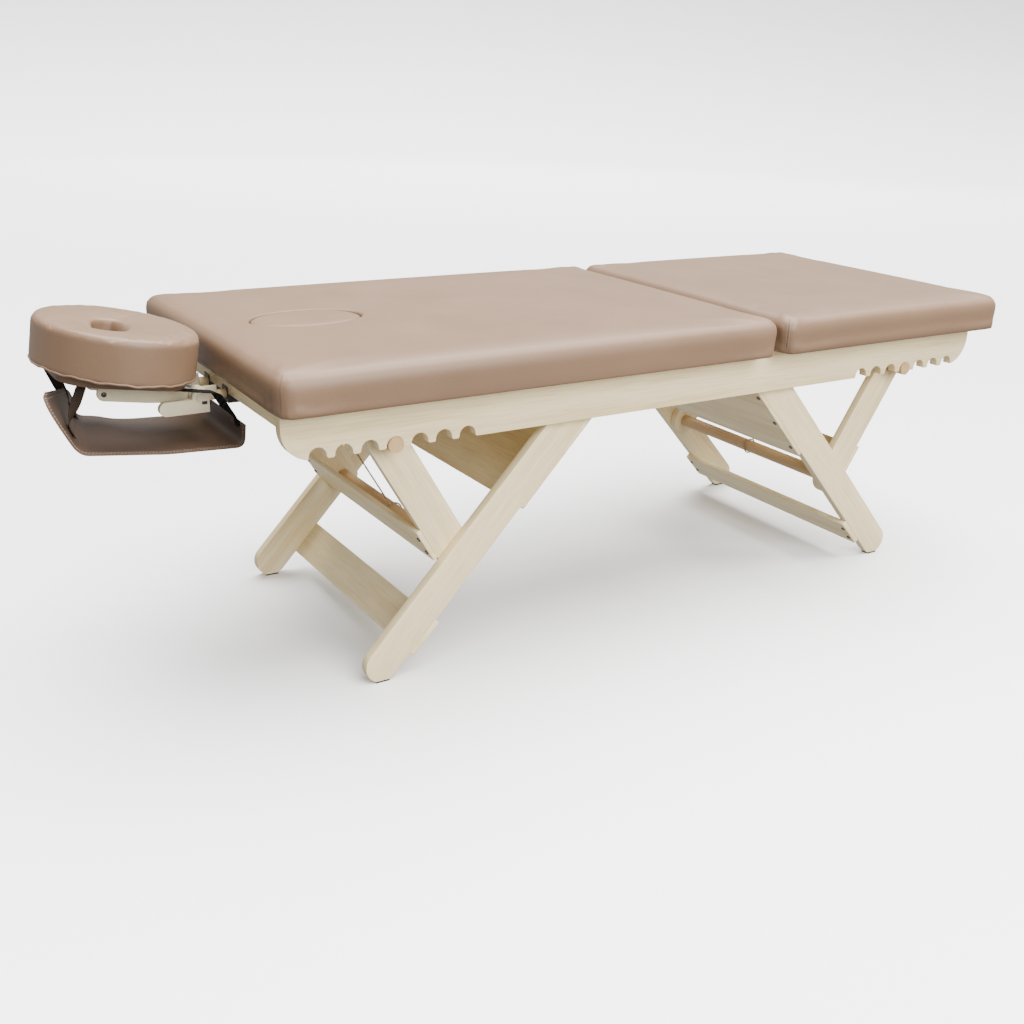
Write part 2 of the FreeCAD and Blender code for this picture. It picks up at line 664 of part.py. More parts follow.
def leg_frame(end):
    """Two legs, the panel and tie board across their inner edges, screws and foot pads."""
    place = LEG_PLACE[end]
    pads = []
    for side, sign in SIDES.items():
        name = f"{end}_leg_{side}"
        centre = f"{sign} * (leg_inner + leg_outer) / 2"
        bar = rounded_bar(name + "_bar", centre, "leg_thickness", "leg_length", "leg_width")
        pivot = cylinder(name + "_pivot", "y", "0", f"{centre} - leg_thickness", "0",
                         "pivot_bolt_diameter + 2 * running_clearance", "2 * leg_thickness")
        depth = "(rod_end_depth + 2 * running_clearance)"
        seat = cylinder(name + "_seat", "y", "strut_station",
                        f"{sign} * (leg_inner + {depth} / 2) - {depth} / 2", "0",
                        "rod_end_diameter + 2 * running_clearance", depth)
        tread = doc.addObject("Part::Box", name + "_tread")
        for prop, text in (("Length", "2 * leg_width"), ("Width", "leg_thickness + 2 * cutter_spare"),
                           ("Height", "leg_width")):
            bind(tread, prop, text)
        reach = "(1.5 * leg_width - foot_pad_thickness)"
        bind(tread, "Placement",
             f"create(<<placement>>; create(<<vector>>; leg_length - leg_width * cos(leg_angle) "
             f"+ {reach} * sin(leg_angle); {centre} - leg_thickness / 2 - cutter_spare; "
             f"-leg_width * sin(leg_angle) - {reach} * cos(leg_angle)); "
             f"create(<<rotation>>; create(<<vector>>; 0; 1; 0); -leg_angle))")
        keep(cut(name + "_cut", bar, [pivot, seat, tread]), name, place)
        chord = "(2 * sqrt(foot_pad_thickness * (leg_width - foot_pad_thickness)))"
        way = 1 if end == "foot" else -1
        flat = box(f"{name}_pad", f"frame_mid + {way} * foot_offset - {chord} / 2",
                   f"{way} * {centre} - leg_thickness / 2", "0", chord, "leg_thickness", "foot_pad_thickness")
        pads.append(flat)
    edge = "-leg_width / 2"
    keep(board_across(f"{end}_panel_block", "panel_top", "leg_outer", f"({edge} - panel_thickness)",
                      "panel_width", "panel_thickness", place), f"{end}_leg_panel")
    keep(board_across(f"{end}_tie_block", "tie_top", "leg_outer", f"({edge} - tie_thickness)",
                      "tie_width", "tie_thickness", place), f"{end}_tie_board")
    screws = []
    for side, sign in SIDES.items():
        y = f"{sign} * (leg_inner + leg_outer) / 2"
        for row in range(3):
            x = f"panel_top + panel_screw_margin + {row} / 2 * (panel_width - 2 * panel_screw_margin)"
            screws.append(screw(f"{end}_panel_screw_{side}_{row}", x, y, f"({edge} - panel_thickness)"))
        for row in range(2):
            x = f"tie_top + tie_screw_margin + {row} * (tie_width - 2 * tie_screw_margin)"
            screws.append(screw(f"{end}_tie_screw_{side}_{row}", x, y, f"({edge} - tie_thickness)"))
    keep(compound(f"{end}_leg_screw_set", screws), f"{end}_leg_screws", place)
    keep(compound(f"{end}_pad_set", pads), f"{end}_foot_pads")


def strut_frame(end):
    """Two struts on a turned rod, the dowel that hooks into the notches, a brace board and a tie cord."""
    place = STRUT_PLACE[end]
    for side, sign in SIDES.items():
        name = f"{end}_strut_{side}"
        centre = f"{sign} * (strut_inner + strut_outer) / 2"
        bar = rounded_bar(name + "_bar", centre, "strut_thickness", "strut_length", "strut_width")
        low = cylinder(name + "_low", "y", "0", f"{centre} - strut_thickness", "0",
                       "rod_end_diameter", "2 * strut_thickness")
        high = cylinder(name + "_high", "y", "strut_length", f"{centre} - strut_thickness", "0",
                        "dowel_diameter", "2 * strut_thickness")
        keep(cut(name + "_cut", bar, [low, high]), name, place)
    half = "(rail_outer + dowel_reach)"
    dowel = doc.addObject("Part::Cylinder", f"{end}_dowel_bar")
    bind(dowel, "Radius", "dowel_diameter / 2")
    bind(dowel, "Height", f"2 * {half}")
    across = (f"create(<<placement>>; create(<<vector>>; strut_length; -{half}; 0); "
              f"create(<<rotation>>; create(<<vector>>; 1; 0; 0); -90))")
    keep(dowel, f"{end}_notch_dowel", f"{place} * {across}")
    thick = cylinder(f"{end}_rod_body", "y", "0", "-strut_inner", "0", "rod_diameter", "2 * strut_inner")
    reach = "(leg_inner + rod_end_depth)"
    thin = cylinder(f"{end}_rod_ends", "y", "0", f"-{reach}", "0", "rod_end_diameter", f"2 * {reach}")
    keep(fuse(f"{end}_rod", [thick, thin]), f"{end}_pivot_rod", place)
    edge = "-strut_width / 2"
    keep(board_across(f"{end}_brace_block", "brace_start", "strut_outer", f"({edge} - brace_thickness)",
                      "brace_width", "brace_thickness", place), f"{end}_strut_brace")
    screws = []
    for side, sign in SIDES.items():
        y = f"{sign} * (strut_inner + strut_outer) / 2"
        for row in range(2):
            x = f"brace_start + brace_screw_margin + {row} * (brace_width - 2 * brace_screw_margin)"
            screws.append(screw(f"{end}_brace_screw_{side}_{row}", x, y, f"({edge} - brace_thickness)"))
    keep(compound(f"{end}_brace_screw_set", screws), f"{end}_brace_screws", place)
    rings = []
    upright = FreeCAD.Rotation(V(1, 0, 0), 90)
    turned = upright * FreeCAD.Rotation(V(0, 0, 1), 180)
    for name, x, diameter, way in (("low", "0", "rod_diameter", turned),
                                   ("high", "strut_length", "dowel_diameter", upright)):
        ring = doc.addObject("Part::Torus", f"{end}_cord_{name}")
        ring.Placement = FreeCAD.Placement(V(), way)
        bind(ring, "Radius1", f"({diameter} + cord_loop_diameter) / 2 + cord_clearance")
        bind(ring, "Radius2", "cord_loop_diameter / 2")
        bind(ring, "Placement.Base.x", x)
        rings.append(ring)
    start = "((rod_diameter + cord_loop_diameter) / 2 + cord_clearance)"
    finish = "((dowel_diameter + cord_loop_diameter) / 2 + cord_clearance)"
    run = cylinder(f"{end}_cord_run", "x", start, "0", "0", "cord_diameter",
                   f"strut_length - {start} - {finish}")
    keep(fuse(f"{end}_cord", rings + [run]), f"{end}_tie_cord", place)


def headrest_base():
    """Slide rods, hinge plates, hinge bolt and spacer, which stay level when the face rest tilts."""
    for side, sign in SIDES.items():
        name = f"headrest_hinge_plate_{side}"
        y = f"{sign} * lower_arm_y"
        eye = cylinder(name + "_eye", "y", "hub_x", f"{y} - arm_thickness / 2", "hub_height",
                       "hub_diameter", "arm_thickness")
        arm = box(name + "_arm", "hub_x", f"{y} - arm_thickness / 2", "hub_height - hinge_plate_drop",
                  "hinge_plate_reach", "arm_thickness", "hinge_plate_height")
        bore = cylinder(name + "_bore", "y", "hub_x", f"{y} - arm_thickness", "hub_height",
                        "hinge_bolt_diameter", "2 * arm_thickness")
        keep(cut(name + "_cut", fuse(name + "_blank", [eye, arm]), [bore]), name)
        rod = cylinder(f"slide_rod_bar_{side}", "x", "hub_x + hinge_plate_reach", y, "slide_rod_height",
                       "slide_rod_diameter",
                       "hub_from_head + rail_inset + slide_rod_engaged - hinge_plate_reach")
        keep(rod, f"headrest_slide_rod_{side}")
    reach = "(lever_y + lever_thickness / 2 + arm_gap)"
    cap = "hinge_cap"
    shank = cylinder("hinge_shank", "y", "hub_x", f"-{reach}", "hub_height", "hinge_bolt_diameter",
                     f"{reach} + lower_arm_y + arm_thickness / 2 + {cap}")
    near = cylinder("hinge_cap_near", "y", "hub_x", f"-{reach} - {cap}", "hub_height",
                    "hub_diameter / 2", cap)
    far = cylinder("hinge_cap_far", "y", "hub_x", "lower_arm_y + arm_thickness / 2", "hub_height",
                   "hub_diameter / 2", cap)
    keep(fuse("hinge_bolt", [shank, near, far]), "headrest_hinge_bolt")
    gap = "(upper_arm_y - arm_thickness / 2 - arm_gap)"
    tube = cylinder("spacer_tube", "y", "hub_x", f"-{gap}", "hub_height", "hub_diameter / 2", f"2 * {gap}")
    hollow = cylinder("spacer_bore", "y", "hub_x", f"-{gap} - cutter_spare", "hub_height",
                      "hinge_bolt_diameter", f"2 * {gap} + 2 * cutter_spare")
    keep(cut("spacer", tube, [hollow]), "headrest_hinge_spacer")


def face_rest():
    """Tilting part, drawn level: two arms, the plate on them and the ring-shaped face cushion."""
    for side, sign in SIDES.items():
        name = f"headrest_arm_{side}"
        y = f"{sign} * upper_arm_y"
        low = "plate_height - arm_depth"
        points = (("hub_x - arm_reach", low), ("hub_x - arm_reach / 2", low),
                  ("hub_x", "hub_height - hub_diameter / 2"), ("hub_x + hub_diameter / 4", "hub_height"),
                  ("hub_x - hub_diameter", "plate_height"), ("hub_x - arm_reach", "plate_height"))
        blank = polygon_plate(name + "_blank", y, "arm_thickness", points)
        round_edges(blank, name + "_corner", "arm_depth / 3", lambda edge: runs_across(edge) and
                    edge.Vertexes[0].X < number("hub_x - arm_reach") + NEAR and
                    edge.Vertexes[0].Z < number("plate_height") - NEAR)
        eye = cylinder(name + "_eye", "y", "hub_x", f"{y} - arm_thickness / 2", "hub_height",
                       "hub_diameter", "arm_thickness")
        bore = cylinder(name + "_bore", "y", "hub_x", f"{y} - arm_thickness", "hub_height",
                        "hinge_bolt_diameter + 2 * running_clearance", "2 * arm_thickness")
        pin = cylinder(name + "_hole", "y", "hub_x - arm_reach + arm_hole_margin", f"{y} - arm_thickness",
                       "plate_height - arm_depth + arm_hole_margin", "arm_hole", "2 * arm_thickness")
        keep(cut(name + "_cut", fuse(name + "_joined", [blank, eye]), [bore, pin]), name, FACE_PLACE)
    plate = box("plate_block", "plate_x - plate_length / 2", "-plate_width / 2", "plate_height",
                "plate_length", "plate_width", "plate_thickness")
    doc.recompute()
    soft_plate = doc.addObject("Part::Fillet", "plate_round")
    soft_plate.Base = plate
    radius = number("plate_corner")
    upright = [i for i, edge in enumerate(plate.Shape.Edges, 1) if edge.BoundBox.ZLength > NEAR]
    soft_plate.Edges = [(i, radius, radius) for i in upright]
    hole = doc.addObject("Part::Feature", "plate_hole")
    hole.Shape = oval(number("face_x"), number("face_hole_length"), number("face_hole_width"),
                      number("plate_height - cutter_spare"), number("plate_thickness + 2 * cutter_spare"))
    keep(cut("plate_cut", soft_plate, [hole]), "headrest_plate", FACE_PLACE)
    ring = oval_ring(number("face_x"), number("plate_top"), number("face_height"))
    feature("face_cushion", ring, FACE_PLACE)


def tilted(x, z):
    """Place of a point of the level face rest once it is tilted about its hinge."""
    hub = V(number("hub_x"), 0, number("hub_height"))
    turn = FreeCAD.Rotation(V(0, 1, 0), number("face_tilt"))
    return hub + turn.multVec(V(x, 0, z) - hub)


def oval_ring(x, z, tall):
    """Face cushion: a round-edged oval ring with a softer, wider mouth at the top of its hole."""
    length, width, spare = number("face_length"), number("face_width"), number("cutter_spare")
    block = oval(x, length, width, z, tall)
    hole = oval(x, number("face_hole_length"), number("face_hole_width"),
                z - spare, tall + 2 * spare)
    ring = block.cut(hole)
    soft, hem = number("face_round"), number("face_hem")
    ring = rounded(ring, soft, lambda edge: edge.BoundBox.ZMin > z + tall - NEAR)
    return rounded(ring, hem, lambda edge: edge.BoundBox.ZMax < z + NEAR and
                   edge.BoundBox.YLength > width - spare)


def clamp_lever():
    """Lever that clamps the hinge, on the bolt's left end."""
    y = "-lever_y"
    hub = cylinder("lever_hub", "y", "hub_x", f"{y} - lever_thickness / 2", "hub_height",
                   "lever_hub_diameter", "lever_thickness")
    arm = box("lever_arm", "hub_x - lever_length", f"{y} - lever_thickness / 2",
              "hub_height - lever_drop - lever_width / 2", "lever_length + hub_diameter / 2",
              "lever_thickness", "lever_width")
    tip = cylinder("lever_tip", "y", "hub_x - lever_length", f"{y} - lever_thickness / 2",
                   "hub_height - lever_drop", "lever_width", "lever_thickness")
    bore = cylinder("lever_bore", "y", "hub_x", f"{y} - lever_thickness", "hub_height",
                    "hinge_bolt_diameter + 2 * running_clearance", "2 * lever_thickness")
    slot = box("lever_slot", "hub_x + lever_slot_offset", f"{y} - lever_thickness / 2 - cutter_spare",
               "hub_height - lever_drop + lever_slot_offset", "lever_slot_length",
               "lever_thickness / 2 + cutter_spare",
               "lever_slot_width")
    keep(cut("lever_cut", fuse("lever_blank", [hub, arm, tip]), [bore, slot]), "headrest_clamp_lever")


def ribbon(points, thickness, low_y, high_y):
    """Flat band that follows points in the XZ plane, with its thickness on the left of the path."""
    outer = []
    inner = []
    count = len(points)
    for index, point in enumerate(points):
        before = points[max(index - 1, 0)]
        after = points[min(index + 1, count - 1)]
        into = (point - before).normalize() if index > 0 else (after - point).normalize()
        out = (after - point).normalize() if index < count - 1 else into
        mean = (into + out).normalize()
        normal = V(-mean.z, 0, mean.x)
        stretch = thickness / mean.dot(out)
        outer.append(V(point.x, low_y, point.z))
        inner.append(V(point.x, low_y, point.z) + normal * stretch)
    ring = outer + inner[::-1]
    return Part.Face(Part.makePolygon(ring + ring[:1])).extrude(V(0, high_y - low_y, 0))


def arm_sling():
    """Tray of leather cloth hung under the face rest: a bottom that sags, a tongue and a low end flap."""
    head = number("head_x")
    thick, half = number("sling_thickness"), number("sling_width / 2")
    left = V(head - number("sling_left"), 0, number("sling_left_height"))
    right = V(head + number("sling_past_head"), 0, number("sling_right_height"))
    lean = number("sling_lean")
    tongue_top = left + V(-lean, 0, number("sling_tongue"))
    flap_top = right + V(number("sling_flap_lean"), 0, number("sling_flap"))
    middle = (left + right) * 0.5 - V(0, 0, number("sling_sag"))
    path = [tongue_top, left, middle, right, flap_top]
    tray = ribbon(path, thick, -half, half)
    fold = number("sling_fold")

    def at_fold(edge):
        where = edge.CenterOfMass
        near = min(abs(where.x - left.x), abs(where.x - right.x)) < 2 * thick
        return runs_across(edge) and near and where.z < left.z + 2 * thick

    tray = rounded(tray, fold, at_fold)
    narrow = number("sling_tongue_width") / 2
    low, high = left.z + fold, tongue_top.z + thick
    spare = fold
    for sign in (-1, 1):
        corner = [V(tongue_top.x - spare, sign * y, z) for y, z in
                  ((half + spare, low), (half, low), (narrow, high), (narrow, high + spare),
                   (half + spare, high + spare))]
        wedge = Part.Face(Part.makePolygon(corner + corner[:1])).extrude(V(lean + 2 * spare, 0, 0))
        tray = tray.cut(wedge)
    feature("arm_sling", tray.Solids[0])
    under = number("plate_height")
    width, thin, lift = number("strap_width"), number("strap_thickness"), number("strap_lift")
    plate_low, plate_high = number("plate_x - plate_length / 2"), number("plate_x + plate_length / 2")
    lap = number("strap_lap")
    end_y = number("plate_width / 2 - plate_corner / 2")
    seat = left + (tongue_top - left) * (number("strap_seat") / number("sling_tongue"))
    left_path = [tilted(plate_low + lap, under - thin), tilted(plate_low + number("strap_fold"), under - thin),
                 seat + V(thick + thin + lift, 0, 0)]
    right_path = [flap_top + V(-thick, 0, lift),
                  V(head + number("strap_past_head"), 0, number("deck_height - strap_drop")),
                  tilted(plate_high - lap / 2, under - thin), tilted(plate_high - lap, under - thin)]
    for side, sign in SIDES.items():
        inner = narrow - width
        low_y = inner if sign > 0 else -narrow
        feature(f"sling_strap_outer_{side}", ribbon(left_path[::-1], thin, low_y, low_y + width))
        low_y = sign * end_y - width / 2
        feature(f"sling_strap_table_{side}", ribbon(right_path, thin, low_y, low_y + width))


for side in SIDES:
    side_rail(side)
cross_rails()
base_boards()
upholstery()
pivot_hardware()
sockets()
for end in ENDS:
    leg_frame(end)
    strut_frame(end)
headrest_base()
face_rest()
clamp_lever()
arm_sling()
doc.recompute()

failed = [thing.Name for thing in doc.Objects if {"Invalid", "Error"} & set(thing.State)]
failed += [part.Label for part in nodes if part.Shape.isNull() or not part.Shape.isValid()]
if failed:
    raise RuntimeError("these did not build: " + ", ".join(failed))

os.makedirs("parts", exist_ok=True)
for part in nodes:
    part.Shape.exportStep(f"parts/{part.Label}.step")
    print(part.Label, len(part.Shape.Solids), round(part.Shape.Volume / 1000, 1), "cm3")
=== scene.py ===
# %% [markdown]
# A massage table: two padded cushions on a pale birch frame, folding trestles hooked into notched
# rails, and a padded face rest with a sling for the arms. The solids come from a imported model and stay
# where they are. This lesson gives each of them its finish and remakes the soft pieces as meshes.

import json
import math

import bpy
from mathutils import Matrix, Vector
from mathutils.bvhtree import BVHTree


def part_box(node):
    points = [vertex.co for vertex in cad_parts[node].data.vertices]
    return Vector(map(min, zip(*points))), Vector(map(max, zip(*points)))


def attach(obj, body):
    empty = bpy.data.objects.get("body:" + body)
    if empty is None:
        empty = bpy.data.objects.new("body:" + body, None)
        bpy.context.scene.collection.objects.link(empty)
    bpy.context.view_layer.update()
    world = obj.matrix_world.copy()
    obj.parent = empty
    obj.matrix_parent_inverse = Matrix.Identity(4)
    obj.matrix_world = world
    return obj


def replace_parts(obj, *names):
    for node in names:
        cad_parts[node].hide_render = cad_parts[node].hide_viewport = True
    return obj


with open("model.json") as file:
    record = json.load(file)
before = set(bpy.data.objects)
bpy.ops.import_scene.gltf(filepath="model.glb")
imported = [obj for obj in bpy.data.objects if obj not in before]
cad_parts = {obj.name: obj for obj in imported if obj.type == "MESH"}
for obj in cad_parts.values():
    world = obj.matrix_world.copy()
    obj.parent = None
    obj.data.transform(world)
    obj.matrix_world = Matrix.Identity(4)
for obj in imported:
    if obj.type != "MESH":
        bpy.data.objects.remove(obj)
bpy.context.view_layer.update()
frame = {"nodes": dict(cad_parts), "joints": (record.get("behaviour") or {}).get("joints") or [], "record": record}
nodes = frame["nodes"]
MM = 0.001

# %% [markdown]
# The camera stands to the left of the head end and looks down along the table. Its place and angles
# were solved from the photograph's straight edges, so the frame lines up without any fitting here.

# %% Camera
CAMERA_PLACE = Vector((-1.413, -2.054, 1.111))
CAMERA_YAW, CAMERA_PITCH, CAMERA_ROLL = (math.radians(angle) for angle in (33.09, 21.22, 2.22))
LENS_MM, SENSOR_MM = 40.88, 36.0
LENS_SHIFT = 0.003


def camera_turn():
    """Axes of the camera: its own right and up, and the way opposite to its view."""
    ahead = Vector((math.sin(CAMERA_YAW) * math.cos(CAMERA_PITCH),
                    math.cos(CAMERA_YAW) * math.cos(CAMERA_PITCH), -math.sin(CAMERA_PITCH)))
    right = Vector((math.cos(CAMERA_YAW), -math.sin(CAMERA_YAW), 0))
    down = ahead.cross(right)
    level, lean = math.cos(CAMERA_ROLL), math.sin(CAMERA_ROLL)
    picture_right = level * right - lean * down
    picture_down = lean * right + level * down
    return Matrix((picture_right, -picture_down, -ahead)).transposed().to_4x4()


lens = bpy.data.cameras.new("studio_camera")
lens.lens, lens.sensor_width = LENS_MM, SENSOR_MM
lens.shift_x, lens.shift_y = LENS_SHIFT, LENS_SHIFT
camera = bpy.data.objects.new("studio_camera", lens)
camera.matrix_world = Matrix.Translation(CAMERA_PLACE) @ camera_turn()
bpy.context.scene.collection.objects.link(camera)
bpy.context.scene.camera = camera
print("camera looks from", [round(value, 3) for value in CAMERA_PLACE])

# %% [markdown]
# Small helpers stand for what a hand does again and again: clear the selection, add a block at its
# size, pick edges or faces by their place, add a modifier and apply it, and give a piece its finish.

# %% Modelling helpers
EDIT_KINDS = {"VERT": "vertices", "EDGE": "edges", "FACE": "polygons"}
TINY = 0.2 * MM


def clamp(share):
    return min(1.0, max(0.0, share))


def object_mode():
    if bpy.context.mode != "OBJECT":
        bpy.ops.object.mode_set(mode="OBJECT")


def clear_selection():
    object_mode()
    bpy.ops.object.select_all(action="DESELECT")


def work_on(piece):
    clear_selection()
    piece.select_set(True)
    bpy.context.view_layer.objects.active = piece


def named(name):
    piece = bpy.context.object
    piece.name = piece.data.name = name
    bpy.ops.object.transform_apply(location=True, rotation=True, scale=True)
    return piece


def new_object(name, data):
    piece = bpy.data.objects.new(name, data)
    bpy.context.scene.collection.objects.link(piece)
    return piece


def new_block(name, low, high):
    """A cube that fills the box between two corners."""
    clear_selection()
    bpy.ops.mesh.primitive_cube_add(size=1, location=(low + high) / 2, scale=high - low)
    return named(name)


def new_drum(name, centre, length, width, height, sides=96):
    """An upright oval drum on a centre point."""
    clear_selection()
    bpy.ops.mesh.primitive_cylinder_add(vertices=sides, radius=0.5, depth=1, location=centre,
                                        scale=(length, width, height))
    return named(name)


def pick(piece, kind, test=lambda corners: True):
    """In edit mode, select all vertices, edges or faces, or those whose corner points pass a test."""
    work_on(piece)
    bpy.ops.object.mode_set(mode="EDIT")
    bpy.ops.mesh.select_mode(type=kind)
    bpy.ops.mesh.select_all(action="DESELECT")
    object_mode()
    points = [vertex.co for vertex in piece.data.vertices]
    for item in getattr(piece.data, EDIT_KINDS[kind]):
        corners = [item.index] if kind == "VERT" else item.vertices
        item.select = test([points[index] for index in corners])
    bpy.ops.object.mode_set(mode="EDIT")


def modify(piece, kind, **settings):
    """Add a modifier with these settings and apply it."""
    work_on(piece)
    modifier = piece.modifiers.new(kind.lower(), kind)
    for key, value in settings.items():
        setattr(modifier, key, value)
    bpy.ops.object.modifier_apply(modifier=modifier.name)


def bevel_picked(width, segments):
    bpy.ops.mesh.bevel(offset=width, offset_type="OFFSET", segments=segments, affect="EDGES")
    object_mode()


def face_outward(piece):
    pick(piece, "FACE")
    bpy.ops.mesh.normals_make_consistent(inside=False)
    object_mode()


def smooth(piece, crease=None):
    """Shade a piece smooth, all over or up to a crease of this angle."""
    work_on(piece)
    if crease is None:
        bpy.ops.object.shade_smooth()
    else:
        bpy.ops.object.shade_smooth_by_angle(angle=crease)


def dress(piece, material):
    piece.data.materials.clear()
    piece.data.materials.append(material)


# %% [markdown]
# Materials are node graphs on Object coordinates, in metres, so that a grain or weave keeps its real
# scale on every piece. A few helpers keep each finish to a handful of lines.

# %% Material helpers
def set_inputs(node, constants):
    for key, value in constants.items():
        node.inputs[key.replace("_", " ")].default_value = value


def shader(name, **constants):
    """New material: the tree and its Principled shader, with constants set on the shader's sockets."""
    material = bpy.data.materials.new(name)
    material.use_nodes = True
    principled = material.node_tree.nodes["Principled BSDF"]
    set_inputs(principled, constants)
    return material, material.node_tree, principled


def add_node(tree, kind, **constants):
    node = tree.nodes.new("ShaderNode" + kind)
    set_inputs(node, constants)
    return node


def place_pattern(tree, scale, turn=(0, 0, 0)):
    """Object coordinates, turned and stretched."""
    coordinates = add_node(tree, "TexCoord")
    mapping = add_node(tree, "Mapping", Rotation=turn, Scale=[1 / value for value in scale])
    mapping.vector_type = "TEXTURE"
    tree.links.new(coordinates.outputs["Object"], mapping.inputs["Vector"])
    return mapping.outputs["Vector"]


def noise(tree, vector, scale=1.0, detail=4.0, roughness=0.55):
    texture = add_node(tree, "TexNoise", Scale=scale, Detail=detail, Roughness=roughness)
    tree.links.new(vector, texture.inputs["Vector"])
    return texture.outputs["Fac"]


def ramp(tree, factor, stops):
    """Colours along a factor: pairs of place and colour."""
    band = add_node(tree, "ValToRGB")
    for element, (place, colour) in zip(band.color_ramp.elements, (stops[0], stops[-1])):
        element.position, element.color = place, (*colour, 1)
    for place, colour in stops[1:-1]:
        band.color_ramp.elements.new(place).color = (*colour, 1)
    tree.links.new(factor, band.inputs["Fac"])
    return band.outputs["Color"]


def mix_colours(tree, kind, factor, first, second):
    mixer = add_node(tree, "Mix")
    mixer.data_type, mixer.blend_type = "RGBA", kind
    mixer.inputs["Factor"].default_value = factor
    tree.links.new(first, mixer.inputs["A"])
    tree.links.new(second, mixer.inputs["B"])
    return mixer.outputs["Result"]


def spread(tree, factor, low, high):
    """Map a factor of 0 to 1 onto another range."""
    mapper = add_node(tree, "MapRange", To_Min=low, To_Max=high)
    tree.links.new(factor, mapper.inputs["Value"])
    return mapper.outputs["Result"]


def raise_surface(tree, principled, height, distance, strength=1.0):
    bump = add_node(tree, "Bump", Distance=distance, Strength=strength)
    tree.links.new(height, bump.inputs["Height"])
    tree.links.new(bump.outputs["Normal"], principled.inputs["Normal"])


def shade(value):
    """A colour a little lighter or darker than another."""
    return lambda colour: tuple(min(1.0, channel * value) for channel in colour)


# %% [markdown]
# Seams and stitches are thin threads. A curve with a round bevel, turned into a mesh, makes one, and a
# row of stitches is many short curves in one object, each sunk at its ends.

# %% Thread helpers
def threads(name, lines, radius, material, sides=1):
    """One mesh of round threads that follow lines of points."""
    path = bpy.data.curves.new(name, "CURVE")
    path.dimensions, path.bevel_depth, path.bevel_resolution, path.use_fill_caps = "3D", radius, sides, True
    for line in lines:
        spline = path.splines.new("POLY")
        spline.points.add(len(line) - 1)
        for point, place in zip(spline.points, line):
            point.co = (*place, 1)
    work_on(new_object(name, path))
    bpy.ops.object.convert(target="MESH")
    thread = bpy.context.object
    thread.data.name = name
    smooth(thread)
    dress(thread, material)
    return thread


def walked(points, pitch):
    """Places every pitch along a line of points."""
    places, travelled, wanted = [], 0.0, 0.0
    for first, last in zip(points, points[1:]):
        run = (last - first).length
        while run > 0 and wanted <= travelled + run:
            places.append(first.lerp(last, (wanted - travelled) / run))
            wanted += pitch
        travelled += run
    return places


STITCH_STEPS = 4


def stitch_lines(points, outward, pitch, length, lift):
    """Short lines along a row, raised in their middle; outward gives the surface's normal at a place."""
    places = walked(points, pitch / STITCH_STEPS)
    lines = []
    for start in range(0, len(places) - STITCH_STEPS, STITCH_STEPS):
        first, ahead = places[start], places[start + STITCH_STEPS // 2]
        last = first + (ahead - first).normalized() * length
        middle = (first + last) / 2
        lines.append([first, middle + outward(middle) * lift, last])
    return lines


# %% [markdown]
# The upholstery is artificial leather: an even taupe with a satin gloss and a fine pebble grain about
# a millimetre wide. Voronoi cells give the pebbles and two noises keep colour and gloss from
# being flat. The sling is the same stuff in a darker brown, which is partly painted shade from the
# face rest above it.

# %% Artificial leather
TAUPE = (0.176, 0.106, 0.062)
# painted shade: the sling's brown is partly darkened for the shade that the face rest casts on it
SLING_BROWN_WITH_SHADE = (0.086, 0.050, 0.031)
PEBBLES_PER_METRE, PEBBLE_HEIGHT = 850, 0.12 * MM


def artificial_leather(name, colour, gloss):
    material, tree, principled = shader(name, Specular_IOR_Level=0.4)
    metres = place_pattern(tree, (1, 1, 1))
    broad = noise(tree, metres, scale=7, detail=3)
    tint = ramp(tree, broad, ((0.3, shade(0.95)(colour)), (0.7, shade(1.05)(colour))))
    fine = noise(tree, metres, scale=420, detail=2)
    speck = ramp(tree, fine, ((0.35, (0.93, 0.93, 0.93)), (0.65, (1, 1, 1))))
    tree.links.new(mix_colours(tree, "MULTIPLY", 1.0, tint, speck), principled.inputs["Base Color"])
    tree.links.new(spread(tree, broad, gloss - 0.05, gloss + 0.06), principled.inputs["Roughness"])
    pebbles = add_node(tree, "TexVoronoi", Scale=PEBBLES_PER_METRE)
    pebbles.feature = "SMOOTH_F1"
    tree.links.new(metres, pebbles.inputs["Vector"])
    raise_surface(tree, principled, pebbles.outputs["Distance"], PEBBLE_HEIGHT, strength=0.35)
    return material


taupe_leather = artificial_leather("taupe_leather", TAUPE, 0.44)
sling_leather = artificial_leather("sling_leather", SLING_BROWN_WITH_SHADE, 0.5)
print("leather pebbles are", round(1 / PEBBLES_PER_METRE / MM, 2), "mm wide")

# %% [markdown]
# The frame is pale lacquered birch. Wood grain is a noise stretched along the board, so each board
# needs its own direction: rails run along X, cross boards along Y, and legs and struts lean. One
# function makes the finish and takes that turn. Plywood also has thin layers across its thickness,
# which show as fine stripes on the edges only.

# %% Birch, plywood and turned wood
BIRCH_PALE, BIRCH_WARM = (0.86, 0.72, 0.43), (0.76, 0.585, 0.31)
DOWEL_PALE, DOWEL_WARM = (0.56, 0.375, 0.185), (0.46, 0.29, 0.13)
PLY_LAYER = 1.6 * MM
STREAKS_PER_METRE, PORES_PER_METRE = (1.6, 26, 26), (14, 520, 520)
PORE_DEPTH = 0.15 * MM
WAVE_STRETCH = 20


